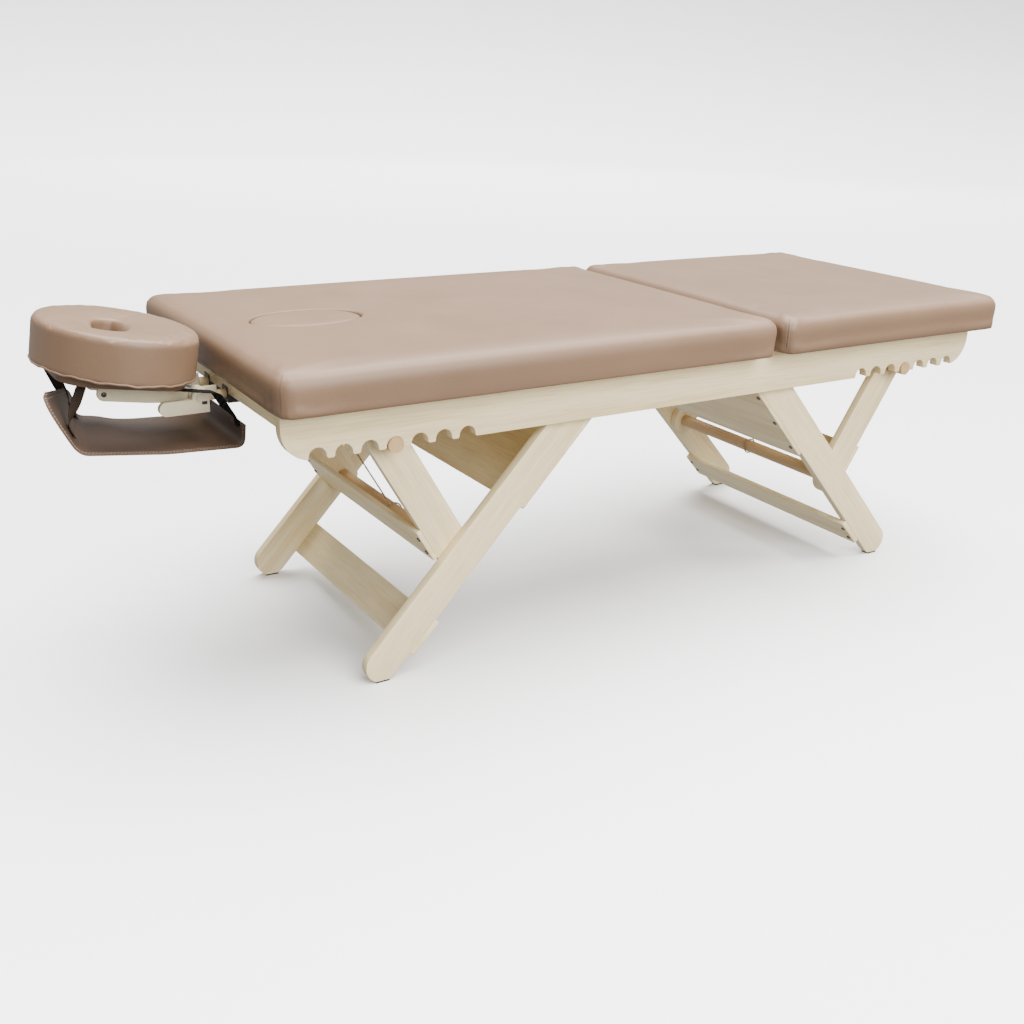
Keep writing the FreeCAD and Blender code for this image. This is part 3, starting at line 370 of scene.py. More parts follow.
def lacquered_wood(name, pale, warm, turn=(0, 0, 0), layered=False, gloss=0.4):
    material, tree, principled = shader(name, Specular_IOR_Level=0.4, Coat_Weight=0.08,
                                        Coat_Roughness=0.3)
    along = place_pattern(tree, STREAKS_PER_METRE, turn)
    streaks = noise(tree, along, scale=1, detail=5, roughness=0.6)
    wide = ramp(tree, streaks, ((0.3, warm), (0.55, pale), (0.8, shade(1.04)(pale))))
    pores = noise(tree, place_pattern(tree, PORES_PER_METRE, turn), scale=1, detail=2)
    lines = ramp(tree, pores, ((0.36, (0.86, 0.83, 0.79)), (0.56, (1, 1, 1))))
    colour = mix_colours(tree, "MULTIPLY", 0.8, wide, lines)
    if layered:
        layers = add_node(tree, "TexWave", Scale=1, Distortion=0)
        layers.bands_direction = "Z"
        step = 2 * math.pi / (WAVE_STRETCH * PLY_LAYER)
        tree.links.new(place_pattern(tree, (step, step, step), turn), layers.inputs["Vector"])
        stripes = ramp(tree, layers.outputs["Fac"], ((0.3, (0.84, 0.78, 0.70)), (0.75, (1, 1, 1))))
        colour = mix_colours(tree, "MULTIPLY", 0.55, colour, stripes)
    tree.links.new(colour, principled.inputs["Base Color"])
    tree.links.new(spread(tree, streaks, gloss + 0.08, gloss - 0.06), principled.inputs["Roughness"])
    raise_surface(tree, principled, pores, PORE_DEPTH, strength=0.25)
    return material


def leaning(name, pale, warm):
    """One finish for each end of the table, turned to the lean of that end's boards."""
    return {end: lacquered_wood(f"{name}_{end}", pale, warm, turn=(0, lean, 0))
            for end, lean in LEANS[name].items()}


def lean_between(first, last):
    """Angle about Y that turns a pattern's X axis along the line from one point to another."""
    return math.atan2(first.z - last.z, last.x - first.x)


joints = {joint["name"]: joint for joint in frame["joints"]}
LEANS = {"leg_birch": {}, "strut_birch": {}}
for end in ("head", "foot"):
    leg_top = Vector(joints[f"{end}_leg_swing"]["pos_m"])
    strut_low = Vector(joints[f"{end}_strut_fold"]["pos_m"])
    dowel_low, dowel_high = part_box(f"{end}_notch_dowel")
    LEANS["leg_birch"][end] = lean_between(leg_top, strut_low)
    LEANS["strut_birch"][end] = lean_between(strut_low, (dowel_low + dowel_high) / 2)

QUARTER = math.pi / 2
rail_birch = lacquered_wood("rail_birch", BIRCH_PALE, BIRCH_WARM)
cross_birch = lacquered_wood("cross_birch", BIRCH_PALE, BIRCH_WARM, turn=(0, 0, QUARTER))
deck_plywood = lacquered_wood("deck_plywood", BIRCH_PALE, BIRCH_WARM, layered=True)
leg_birch = leaning("leg_birch", BIRCH_PALE, BIRCH_WARM)
strut_birch = leaning("strut_birch", BIRCH_PALE, BIRCH_WARM)
turned_beech = lacquered_wood("turned_beech", DOWEL_PALE, DOWEL_WARM, turn=(0, 0, QUARTER))
print("leans in degrees", {name: {end: round(math.degrees(lean), 1) for end, lean in ends.items()}
                           for name, ends in LEANS.items()})

# %% [markdown]
# The fittings are few: cream moulded plastic on the face rest, dark plated screws, bright bolts, black
# and brown woven straps, and thin rubber under the feet. Each gets some unevenness in colour and gloss.

# %% Fittings
FINE_GRAIN, RUBBER_GRAIN, THREAD_GRAIN = 0.06 * MM, 0.2 * MM, 0.1 * MM
RIB_HEIGHT = 0.4 * MM
BOARD_BROWN, BOARD_DARK = (0.16, 0.095, 0.055), (0.10, 0.058, 0.032)


def moulded(name, colour, gloss, grain=900, depth=FINE_GRAIN, **constants):
    material, tree, principled = shader(name, **constants)
    metres = place_pattern(tree, (1, 1, 1))
    cloud = noise(tree, metres, scale=18, detail=3)
    tint = ramp(tree, cloud, ((0.3, shade(0.93)(colour)), (0.7, shade(1.05)(colour))))
    tree.links.new(tint, principled.inputs["Base Color"])
    tree.links.new(spread(tree, cloud, gloss - 0.06, gloss + 0.06), principled.inputs["Roughness"])
    raise_surface(tree, principled, noise(tree, metres, scale=grain, detail=2), depth, strength=0.4)
    return material


def webbing(name, colour):
    """Flat woven strap: fine ribs across and along the weave."""
    material, tree, principled = shader(name, Roughness=0.85, Specular_IOR_Level=0.1)
    ribs = add_node(tree, "TexWave", Scale=170, Distortion=0.6)
    ribs.wave_type, ribs.bands_direction = "BANDS", "DIAGONAL"
    tree.links.new(place_pattern(tree, (1, 1, 1)), ribs.inputs["Vector"])
    weave = ramp(tree, ribs.outputs["Fac"], ((0.2, shade(0.6)(colour)), (0.8, shade(1.5)(colour))))
    tree.links.new(weave, principled.inputs["Base Color"])
    raise_surface(tree, principled, ribs.outputs["Fac"], RIB_HEIGHT, strength=0.7)
    return material


cream_plastic = moulded("cream_plastic", (0.76, 0.67, 0.46), 0.42, Specular_IOR_Level=0.45)
black_plastic = moulded("black_plastic", (0.02, 0.018, 0.016), 0.5)
foot_rubber = moulded("foot_rubber", (0.025, 0.024, 0.022), 0.8, grain=500, depth=RUBBER_GRAIN)
bright_steel = moulded("bright_steel", (0.60, 0.59, 0.57), 0.32, Metallic=1.0)
dark_steel = moulded("dark_steel", (0.09, 0.08, 0.07), 0.38, Metallic=1.0)
brown_board = lacquered_wood("brown_board", BOARD_BROWN, BOARD_DARK, layered=True, gloss=0.5)
black_webbing = webbing("black_webbing", (0.012, 0.011, 0.011))
brown_webbing = webbing("brown_webbing", (0.042, 0.029, 0.021))
tan_cord = webbing("tan_cord", (0.32, 0.215, 0.12))
stitch_thread = moulded("stitch_thread", (0.34, 0.245, 0.18), 0.7, grain=2500, depth=THREAD_GRAIN)
seam_thread = moulded("seam_thread", (0.085, 0.055, 0.04), 0.7, grain=2500, depth=THREAD_GRAIN)
print("mixed", len(bpy.data.materials), "finishes")

# %% [markdown]
# Sawn boards never have knife-sharp edges: a router eases them, and that soft edge catches the light.
# A copy of each solid is merged, its flat faces are joined again, and a small bevel goes on all sharp
# edges. The eased copy then stands for the solid.

# %% Eased boards
BOARD_EASE = 1.6 * MM
SHARP, FLAT = math.radians(35), math.radians(1)
MERGE = 0.02 * MM


def eased_board(node, material):
    source = nodes[node]
    board = source.copy()
    board.data = source.data.copy()
    board.name = board.data.name = node + "_eased"
    for key in list(board.keys()):
        del board[key]
    board.parent = None
    bpy.context.scene.collection.objects.link(board)
    pick(board, "VERT")
    bpy.ops.mesh.remove_doubles(threshold=MERGE)
    bpy.ops.mesh.dissolve_limited(angle_limit=FLAT)
    object_mode()
    modify(board, "BEVEL", width=BOARD_EASE, segments=3, limit_method="ANGLE", angle_limit=SHARP)
    smooth(board, SHARP)
    dress(board, material)
    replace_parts(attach(board, body_of[node]), node)


slot_of = {part["node"]: part["material_slot"] for part in frame["record"]["subparts"]}
body_of = {node: body for body, members in frame["record"]["behaviour"]["bodies"].items() for node in members}
board_finish = {f"side_rail_{side}": rail_birch for side in ("left", "right")}
for end in ("head", "foot"):
    board_finish |= {f"{end}_leg_{side}": leg_birch[end] for side in ("left", "right")}
    board_finish |= {f"{end}_strut_{side}": strut_birch[end] for side in ("left", "right")}
    board_finish |= {f"{end}_{board}": cross_birch for board in ("leg_panel", "tie_board", "strut_brace")}
board_finish |= {node: cross_birch for node in nodes if node.startswith("cross_rail")}
board_finish |= {f"{part}_base_board": deck_plywood for part in ("main", "foot")}
board_finish["headrest_plate"] = brown_board
board_finish |= {f"headrest_{part}": cream_plastic for part in (
    "arm_left", "arm_right", "hinge_plate_left", "hinge_plate_right", "clamp_lever")}
for node, finish in board_finish.items():
    eased_board(node, finish)
print("eased", len(board_finish), "boards")

# %% [markdown]
# The turned pieces and small fittings keep their solids. The material slot picks each one's finish, apart
# from the cream hinge bolt and the wooden slide rods, which differ from the rest of their slot.

# %% Finishes on the solids that stay
SOLID_FINISH = {
    "dowel_wood": turned_beech, "steel": bright_steel, "screw_steel": dark_steel, "foot_rubber": foot_rubber,
    "socket_plastic": black_plastic, "upholstery": taupe_leather, "sling_leather": sling_leather,
    "webbing": black_webbing, "cord": tan_cord,
}
NODE_FINISH = {"headrest_hinge_bolt": cream_plastic, "headrest_slide_rod_left": rail_birch,
               "headrest_slide_rod_right": rail_birch}
for node, piece in nodes.items():
    if node not in board_finish:
        dress(piece, NODE_FINISH.get(node, SOLID_FINISH[slot_of[node]]))
        smooth(piece, SHARP)
print("dressed", len(nodes) - len(board_finish), "other solids")

# %% [markdown]
# A cushion is foam under a tight cover. The block is bevelled to its round corners and edges, given a
# crown and ends that lean in towards the board, remeshed to even quads and then blown up a little as
# cloth with its underside held. The cloth swells the faces between the edges, as a cover does.

# %% Cushion helpers
CLOTH_FRAMES = 20


def foam_block(name, low, high, corner, top_round, hem):
    pad = new_block(name, low, high)
    tall = high.z - low.z
    pick(pad, "EDGE", lambda ends: abs(ends[0].z - ends[1].z) > tall / 2)
    bevel_picked(corner, segments=8)
    pick(pad, "EDGE", lambda ends: min(end.z for end in ends) > high.z - TINY)
    bevel_picked(top_round, segments=7)
    pick(pad, "EDGE", lambda ends: max(end.z for end in ends) < low.z + TINY)
    bevel_picked(hem, segments=3)
    return pad


def crown_and_lean(pad, low, high, crown, draw, lean):
    """Raise the middle of the top, pull the sides in half way along, and lean the two ends in."""
    middle, half = (low + high) / 2, (high - low) / 2
    for vertex in pad.data.vertices:
        along, across, up = ((vertex.co[axis] - middle[axis]) / half[axis] for axis in range(3))
        height = clamp((up + 1) / 2)
        vertex.co.z += crown * (1 - along ** 2) * (1 - across ** 2) * height
        vertex.co.y -= draw * across * (1 - along ** 2)
        vertex.co.x -= along * abs(along) ** 6 * (draw * (1 - across ** 2) + lean * (1 - height) ** 2)


def swell(pad, pressure, cap, held_below):
    """Blow the cover up as cloth for a few frames, with its underside held, and cap how far it moves."""
    held = pad.vertex_groups.new(name="held")
    held.add([vertex.index for vertex in pad.data.vertices if vertex.co.z < held_below], 1.0, "REPLACE")
    start = [vertex.co.copy() for vertex in pad.data.vertices]
    cover = pad.modifiers.new("cover", "CLOTH")
    cloth = cover.settings
    cloth.quality, cloth.mass, cloth.air_damping = 4, 0.35, 4
    cloth.tension_stiffness = cloth.compression_stiffness = 30
    cloth.shear_stiffness, cloth.bending_stiffness = 15, 3
    cloth.use_pressure, cloth.uniform_pressure_force = True, pressure
    cloth.effector_weights.gravity = 0
    cloth.vertex_group_mass = "held"
    cover.collision_settings.use_collision = False
    scene = bpy.context.scene
    cover.point_cache.frame_start, cover.point_cache.frame_end = 1, CLOTH_FRAMES
    for step in range(1, CLOTH_FRAMES + 1):
        scene.frame_set(step)
    work_on(pad)
    bpy.ops.object.modifier_apply(modifier=cover.name)
    scene.frame_set(1)
    moved = 0.0
    for vertex, before in zip(pad.data.vertices, start):
        path = vertex.co - before
        moved = max(moved, path.length)
        if path.length > cap:
            vertex.co = before + path * (cap / path.length)
    pad.vertex_groups.clear()
    print(pad.name, "swelled by up to", round(moved / MM, 1), "mm, capped at", round(cap / MM, 1))


def remeshed(pad, cell):
    modify(pad, "REMESH", mode="VOXEL", voxel_size=cell, adaptivity=0.0, use_smooth_shade=True)


def surface_of(piece):
    """A tree to look up the surface with."""
    mesh = piece.data
    points = [vertex.co for vertex in mesh.vertices]
    return BVHTree.FromPolygons(points, [face.vertices for face in mesh.polygons])


# %% [markdown]
# Both cushions of the table are made the same way and differ only in length. The box of each solid gives
# the size, the cover's top edge lies at one height on both, and the crown rises a little above it.

# %% Main cushion and foot cushion
PAD_CELL = 9 * MM
PAD_CORNER, PAD_ROUND, PAD_HEM = 34 * MM, 26 * MM, 5 * MM
PAD_CROWN, PAD_DRAW, PAD_LEAN = 3 * MM, 2 * MM, 9 * MM
PAD_SWELL, PAD_CAP = 4.0, 4 * MM
TOP_EDGE = 76 * MM


def table_pad(name, node):
    low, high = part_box(node)
    edge = Vector((high.x, high.y, low.z + TOP_EDGE))
    pad = foam_block(name, low, edge, PAD_CORNER, PAD_ROUND, PAD_HEM)
    remeshed(pad, PAD_CELL)
    crown_and_lean(pad, low, edge, PAD_CROWN, PAD_DRAW, PAD_LEAN)
    swell(pad, PAD_SWELL, PAD_CAP, low.z + PAD_HEM)
    modify(pad, "SUBSURF", levels=1, render_levels=1)
    smooth(pad)
    dress(pad, taupe_leather)
    return pad


main_pad = table_pad("main_pad", "main_cushion")
foot_pad = table_pad("foot_pad", "foot_cushion")

# %% [markdown]
# The face hole is cut after the swelling, with an oval cutter whose mouth flares in a quarter round and
# follows the crown, so the rim is even. Each cushion then gets a pocket below for its base board.

# %% Face hole and pockets
RIM_ROUND = 7 * MM
RIM_STEPS, OVAL_SIDES = 6, 96
SIDE_OPEN, END_POWER = 0.45, 6
HOLE_PLAY = 0.4 * MM
CUTTER_BELOW, CUTTER_ABOVE, CUTTER_PAST = 10 * MM, 8 * MM, 1 * MM
PAD_CREASE = math.radians(50)
BOARD_PLAY, POCKET_BELOW = 0.5 * MM, 4 * MM
plug_low, plug_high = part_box("face_plug")
plug_middle = (plug_low + plug_high) / 2
plug_half = (plug_high - plug_low) / 2
main_surface = surface_of(main_pad)


def top_of(surface, x, y):
    """Height of a cushion's cover at a place, found by a ray from above."""
    return surface.ray_cast(Vector((x, y, 1.0)), Vector((0, 0, -1)))[0].z


def end_share(along):
    """The seam round the plug opens at its two ends and is tight along its sides."""
    return SIDE_OPEN + (1 - SIDE_OPEN) * abs(along) ** END_POWER


def flared_cutter(name, surface):
    """Oval drum whose mouth opens in a quarter round that follows the cushion's top."""
    clear_selection()
    base = plug_low.z - CUTTER_BELOW
    bpy.ops.mesh.primitive_circle_add(vertices=OVAL_SIDES, radius=1, fill_type="NGON",
                                      location=(plug_middle.x, plug_middle.y, base))
    cutter = named(name)
    rings = [(0.0, None)]
    for step in range(RIM_STEPS + 1):
        turn = QUARTER * step / RIM_STEPS
        rings.append((RIM_ROUND * (1 - math.cos(turn)), RIM_ROUND * (1 - math.sin(turn))))
    rings.append((RIM_ROUND + CUTTER_PAST, -CUTTER_ABOVE))
    pick(cutter, "FACE")
    for ring in rings[1:]:
        bpy.ops.mesh.extrude_region_move(TRANSFORM_OT_translate={"value": (0, 0, 1)})
    object_mode()
    for vertex in cutter.data.vertices:
        level = round(vertex.co.z - base)
        wider, depth = rings[level]
        reach = Vector((vertex.co.x - plug_middle.x, vertex.co.y - plug_middle.y))
        opened = end_share(reach.x)
        vertex.co.x = plug_middle.x + reach.x * (plug_half.x + HOLE_PLAY + wider * opened)
        vertex.co.y = plug_middle.y + reach.y * (plug_half.y + HOLE_PLAY + wider * opened)
        if depth is None:
            vertex.co.z = base
        else:
            below = depth * opened if depth > 0 else depth
            vertex.co.z = top_of(surface, vertex.co.x, vertex.co.y) - below
    face_outward(cutter)
    return cutter


def carve(pad, cutter):
    modify(pad, "BOOLEAN", operation="DIFFERENCE", object=cutter, solver="EXACT")
    bpy.data.objects.remove(cutter)


carve(main_pad, flared_cutter("hole_cutter", main_surface))
play = Vector((BOARD_PLAY, BOARD_PLAY, BOARD_PLAY))
below = Vector((0, 0, POCKET_BELOW))
for pad, part in ((main_pad, "main"), (foot_pad, "foot")):
    board_low, board_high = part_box(f"{part}_base_board")
    carve(pad, new_block(f"{part}_pocket", board_low - play - below, board_high + play))
    smooth(pad, PAD_CREASE)
    dress(pad, taupe_leather)
    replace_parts(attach(pad, "root"), f"{part}_cushion")
print("main cushion has", len(main_pad.data.polygons), "faces")

# %% [markdown]
# The plug is a small oval cushion of the same leather that fills the hole. It is a drum with a round
# top edge, swelled the same way, and its top follows the crown of the cushion around it.

# %% Face plug
PLUG_CELL = 4 * MM
PLUG_ROUND = 4 * MM
PLUG_SLACK = 2 * MM
PLUG_FALL, PLUG_END_FALL, PLUG_PROUD = 1 * MM, 3.5 * MM, 0.5 * MM
PLUG_SWELL, PLUG_CAP, PLUG_HELD = 1.0, 0.8 * MM, 4 * MM
plug_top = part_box("main_cushion")[0].z + TOP_EDGE
plug = new_drum("face_plug_pad", (plug_middle.x, plug_middle.y, (plug_low.z + plug_top) / 2),
                2 * plug_half.x - PLUG_SLACK, 2 * plug_half.y - PLUG_SLACK, plug_top - plug_low.z)
pick(plug, "EDGE", lambda ends: min(end.z for end in ends) > plug_top - TINY)
bevel_picked(PLUG_ROUND, segments=5)
remeshed(plug, PLUG_CELL)
for vertex in plug.data.vertices:
    share = max(0.0, (vertex.co.z - plug_low.z) / (plug_top - plug_low.z))
    along = (vertex.co.x - plug_middle.x) / plug_half.x
    across = (vertex.co.y - plug_middle.y) / plug_half.y
    edge_top = top_of(main_surface, vertex.co.x, vertex.co.y) - plug_top
    sink = PLUG_FALL * (along ** 2 + across ** 2) + PLUG_END_FALL * abs(along) ** 8
    vertex.co.z += share * (edge_top + PLUG_PROUD - sink)
swell(plug, PLUG_SWELL, PLUG_CAP, plug_low.z + PLUG_HELD)
modify(plug, "SUBSURF", levels=1, render_levels=1)
smooth(plug)
dress(plug, taupe_leather)
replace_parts(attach(plug, "face_plug"), "face_plug")
print("plug has", len(plug.data.polygons), "faces")

# %% [markdown]
# The face cushion is a closed ring, and the whole rest is tilted up about its hinge. So the ring is made
# level and turned at the end. It starts as an oval drum with an oval hole, its rims are bevelled, and the
# hole is then narrowed: one rim sinks, the outer lip is drawn in and the wall across from it bulges.

# %% Face cushion
FACE_TILT = math.radians(9)
FACE_SIZE = Vector((280, 330, 82)) * MM
FACE_FROM_HINGE = Vector((-138.4, 0, 73.3)) * MM
HOLE_LENGTH, HOLE_WIDTH = 90 * MM, 84 * MM
FACE_CELL = 4 * MM
FACE_ROUND, HOLE_ROUND, FACE_HEM = 11 * MM, 8 * MM, 5 * MM
FACE_SLOPE = 3 * MM
FACE_SLACK = 2 * MM
FACE_SWELL, FACE_CAP = 5.0, 4 * MM
LIP_REACH, WALL_BULGE = 5 * MM, 36 * MM
RIM_SPREAD, RIM_NEAR = 0.35, 0.06
BULGE_ARC = 0.75 * math.pi
DIP_DEPTH, DIP_SPREAD, DIP_FROM_MIDDLE = 20 * MM, 30 * MM, Vector((-30, -28, 0)) * MM
hinge = Vector(joints["face_rest_tilt"]["pos_m"])
tilt = Matrix.Translation(hinge) @ Matrix.Rotation(FACE_TILT, 4, "Y") @ Matrix.Translation(-hinge)
face_middle = hinge + FACE_FROM_HINGE
ring_floor = face_middle.z - FACE_SIZE.z / 2
ring_top = face_middle.z + FACE_SIZE.z / 2 - FACE_SLACK


def oval_share(point, length, width):
    """How far out a point lies from the face cushion's middle: 1 on the oval of this size."""
    return math.hypot((point.x - face_middle.x) / (length / 2), (point.y - face_middle.y) / (width / 2))


ring_middle = Vector((face_middle.x, face_middle.y, (ring_floor + ring_top) / 2))
ring = new_drum("face_ring", ring_middle, FACE_SIZE.x - 2 * FACE_SLACK, FACE_SIZE.y - 2 * FACE_SLACK,
                ring_top - ring_floor)
carve(ring, new_drum("face_core", ring_middle, HOLE_LENGTH, HOLE_WIDTH, FACE_SIZE.z * 2))


def rim(outer, level):
    """Test for the edges of one rim of the ring."""
    size = (FACE_SIZE.x, FACE_SIZE.y) if outer else (HOLE_LENGTH, HOLE_WIDTH)
    return lambda ends: all(abs(end.z - level) < TINY and abs(oval_share(end, *size) - 1) < RIM_NEAR
                            for end in ends)


for outer, level, width, steps in ((True, ring_top, FACE_ROUND, 6), (False, ring_top, HOLE_ROUND, 6),
                                   (True, ring_floor, FACE_HEM, 3)):
    pick(ring, "EDGE", rim(outer, level))
    bevel_picked(width, steps)
remeshed(ring, FACE_CELL)


def pinched(point):
    """How far to move a point: the hole's rim sinks, its outer lip comes in, the wall across bulges."""
    height = clamp((point.z - ring_floor) / (ring_top - ring_floor))
    outward = oval_share(point, FACE_SIZE.x, FACE_SIZE.y)
    inward = clamp((1 - outward) / (1 - HOLE_LENGTH / FACE_SIZE.x))
    near_rim = math.exp(-((oval_share(point, HOLE_LENGTH, HOLE_WIDTH) - 1) / RIM_SPREAD) ** 2)
    side = (point.x - face_middle.x) / (HOLE_LENGTH / 2)
    level = max(0.0, 1 - ((point.y - face_middle.y) / (HOLE_WIDTH / 2)) ** 2)
    lip = LIP_REACH * near_rim * level * height ** 3 * clamp(-side)
    bulge = WALL_BULGE * near_rim * math.sin(BULGE_ARC * height) * clamp(side)
    from_dip = point - face_middle - DIP_FROM_MIDDLE
    dip = DIP_DEPTH * math.exp(-(from_dip.x ** 2 + from_dip.y ** 2) / DIP_SPREAD ** 2) * height ** 2
    return Vector((lip - bulge, 0, -FACE_SLOPE * inward ** 1.5 * height ** 2 - dip))


for vertex in ring.data.vertices:
    vertex.co += pinched(vertex.co)
swell(ring, FACE_SWELL, FACE_CAP, ring_floor + FACE_HEM)
modify(ring, "SUBSURF", levels=1, render_levels=1)
smooth(ring)
ring.data.transform(tilt)
dress(ring, taupe_leather)
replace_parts(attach(ring, "face_rest"), "face_cushion")
print("face cushion has", len(ring.data.polygons), "faces")

# %% [markdown]
# Each arm of the face rest has its hole filled with a dark steel pin, and the clamp lever's slot by its hub
# is filled with a black block: both are painted shade, dark where the hole and the slot lie in shade.
# Both are small turned or cut blanks with eased edges, set a little below the surface that they sit in.

# %% Painted shade in the arm holes and the lever slot
ARM_HOLE_FROM_HINGE = Vector((-163, 0, -8.7)) * MM
ARM_MIDDLE, HOLE_SHADE_DIAMETER, HOLE_SHADE_LENGTH = 40.5 * MM, 8.8 * MM, 7 * MM
HOLE_SHADE_EASE = 1 * MM
SLOT_SHADE_FROM_HINGE, SLOT_SHADE_SIZE = Vector((2, 0, -15)) * MM, Vector((10, 5.4, 6)) * MM
SLOT_SHADE_SINK, SLOT_SHADE_EASE = 0.4 * MM, 0.6 * MM
# painted shade: a dark steel pin in each arm's hole makes the hole read as shaded
for side, sign in (("left", -1), ("right", 1)):
    place = hinge + ARM_HOLE_FROM_HINGE + Vector((0, sign * ARM_MIDDLE, 0))
    clear_selection()
    bpy.ops.mesh.primitive_cylinder_add(vertices=32, radius=HOLE_SHADE_DIAMETER / 2, depth=HOLE_SHADE_LENGTH,
                                        location=place, rotation=(QUARTER, 0, 0))
    hole_shade = named(f"arm_rivet_{side}")
    modify(hole_shade, "BEVEL", width=HOLE_SHADE_EASE, segments=2, limit_method="ANGLE", angle_limit=SHARP)
    hole_shade.data.transform(tilt)
    smooth(hole_shade)
    dress(hole_shade, dark_steel)
    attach(hole_shade, "face_rest")
# painted shade: a black plastic block in the lever's slot makes the slot read as shaded
lever_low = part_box("headrest_clamp_lever")[0]
slot_shade_low = Vector((hinge.x, lever_low.y + SLOT_SHADE_SINK, hinge.z)) + SLOT_SHADE_FROM_HINGE
slot_shade = new_block("lever_insert", slot_shade_low, slot_shade_low + SLOT_SHADE_SIZE)
modify(slot_shade, "BEVEL", width=SLOT_SHADE_EASE, segments=2)
dress(slot_shade, black_plastic)
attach(slot_shade, "clamp_lever")
print("set hole_shades", round(2 * ARM_MIDDLE / MM), "mm apart and one insert")

# %% [markdown]
# The cover is gathered under the ring's lower edge, and the hem shows there as a thin wavy roll. A curve
# round the oval with a small ripple makes it.

# %% Hem of the face cushion
HEM_ROLL = 2.2 * MM
HEM_STEPS = 160
HEM_IN, HEM_UP = 3 * MM, 3 * MM


def hem_point(step):
    turn = 2 * math.pi * step / HEM_STEPS
    ripple = 0.9 * MM * math.sin(13 * turn) + 0.6 * MM * math.sin(29 * turn + 1)
    return Vector((face_middle.x + (FACE_SIZE.x / 2 - HEM_IN) * math.cos(turn),
                   face_middle.y + (FACE_SIZE.y / 2 - HEM_IN) * math.sin(turn),
                   ring_floor + HEM_UP + ripple))


hem_line = [hem_point(step) for step in range(HEM_STEPS + 1)]
face_hem = threads("face_hem", [hem_line], HEM_ROLL, taupe_leather, sides=2)
face_hem.data.transform(tilt)
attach(face_hem, "face_rest")
print("hem has", len(face_hem.data.polygons), "faces")

# %% [markdown]
# The cushions' covers are sewn at a few corners: a plain seam down both head corners of the long cushion
# and a seam between two rows of stitches at the foot cushion's gap. Rays cast outwards from inside each
# corner find the cover, so the threads lie on it.

# %% Corner seams
SEAM_RADIUS, STITCH_RADIUS = 0.55 * MM, 0.35 * MM
STITCH_PITCH, STITCH_LENGTH = 6 * MM, 4 * MM
STITCH_SPREAD, STITCH_LIFT = math.radians(5.5), 0.3 * MM
SEAM_STEP, SEAM_IN = 3 * MM, 3 * MM
STITCHES_UP, STITCHES_DOWN = 4 * MM, 8 * MM


def corner_line(surface, inside, heading, low, high):
    """Points down the cover's corner, found along a heading from an upright line inside it."""
    away = Vector((math.cos(heading), math.sin(heading), 0))
    count = math.ceil((high - low) / SEAM_STEP)
    line = []
    for step in range(count + 1):
        start = Vector((inside.x, inside.y, low + (high - low) * step / count))
        place = surface.ray_cast(start, away)[0]
        if place:
            line.append(place)
    return line


def corner_seams(pad, name, end_sign, stitched):
    low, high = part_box(name)
    surface = surface_of(pad)
    end_x = high.x if end_sign > 0 else low.x
    seams, stitches = [], []
    for side_sign in (-1, 1):
        inside = Vector((end_x - end_sign * PAD_CORNER, side_sign * (high.y - PAD_CORNER), 0))
        heading = math.atan2(side_sign, end_sign)
        away = Vector((math.cos(heading), math.sin(heading), 0))
        seams.append(corner_line(surface, inside, heading, low.z + SEAM_IN, low.z + TOP_EDGE - SEAM_IN))
        if stitched:
            for spread_sign in (-1, 1):
                row = corner_line(surface, inside, heading + spread_sign * STITCH_SPREAD,
                                  low.z + STITCHES_UP, low.z + TOP_EDGE - STITCHES_DOWN)
                stitches += stitch_lines(row, lambda place: away, STITCH_PITCH, STITCH_LENGTH, STITCH_LIFT)
    return seams, stitches


plain_seams = corner_seams(main_pad, "main_cushion", end_sign=-1, stitched=False)[0]
gap_seams, gap_stitches = corner_seams(foot_pad, "foot_cushion", end_sign=-1, stitched=True)
for piece in (threads("corner_seams", plain_seams + gap_seams, SEAM_RADIUS, seam_thread),
              threads("corner_stitches", gap_stitches, STITCH_RADIUS, stitch_thread)):
    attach(piece, "root")
print("sewed", len(plain_seams + gap_seams), "seams and", len(gap_stitches), "stitches")

# %% [markdown]
# The arm sling is one piece of leather cloth: a sagging tray with a round tongue at its outer end and
# a low flap at the table's end. A path in side view gives its line, its half width is worked out along
# that path, and a Solidify modifier gives it its thickness. The tongue hangs askew, so it is swung a little.

# %% Arm sling
sling_low, sling_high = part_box("arm_sling")
SLING_THICK, SLING_EASE, CLOTH_SHARE = 2.6 * MM, 0.8 * MM, 0.55
CLOTH_SHARP = math.radians(60)
SLING_FOLD = 16 * MM
SLING_SAG = 6 * MM
SLING_HALF = (sling_high.y - sling_low.y) / 2
SLING_TIP_HALF = 62 * MM
TONGUE_TOP = Vector((sling_low.x + 1.5 * MM, 0, sling_low.z + 116 * MM))
LEFT_FOLD = Vector((sling_low.x + 21.5 * MM, 0, sling_low.z + 26.5 * MM))
RIGHT_FOLD = Vector((sling_high.x - 5.5 * MM, 0, sling_low.z + 1.5 * MM))
FLAP_TOP = Vector((sling_high.x - 2 * MM, 0, sling_low.z + 42.5 * MM))
FOLD_SHIFT, FOLD_SKEW, FOLD_BLEND = 19 * MM, 25 * MM, 110 * MM
TIP_SHIFT, TIP_SKEW, TIP_DROP, TIP_LOWER = 8 * MM, 51 * MM, 28 * MM, 5 * MM
HEM_WIDTH = 14 * MM
SLING_ACROSS, SLING_STEP, CURVE_STEPS = 32, 6 * MM, 6


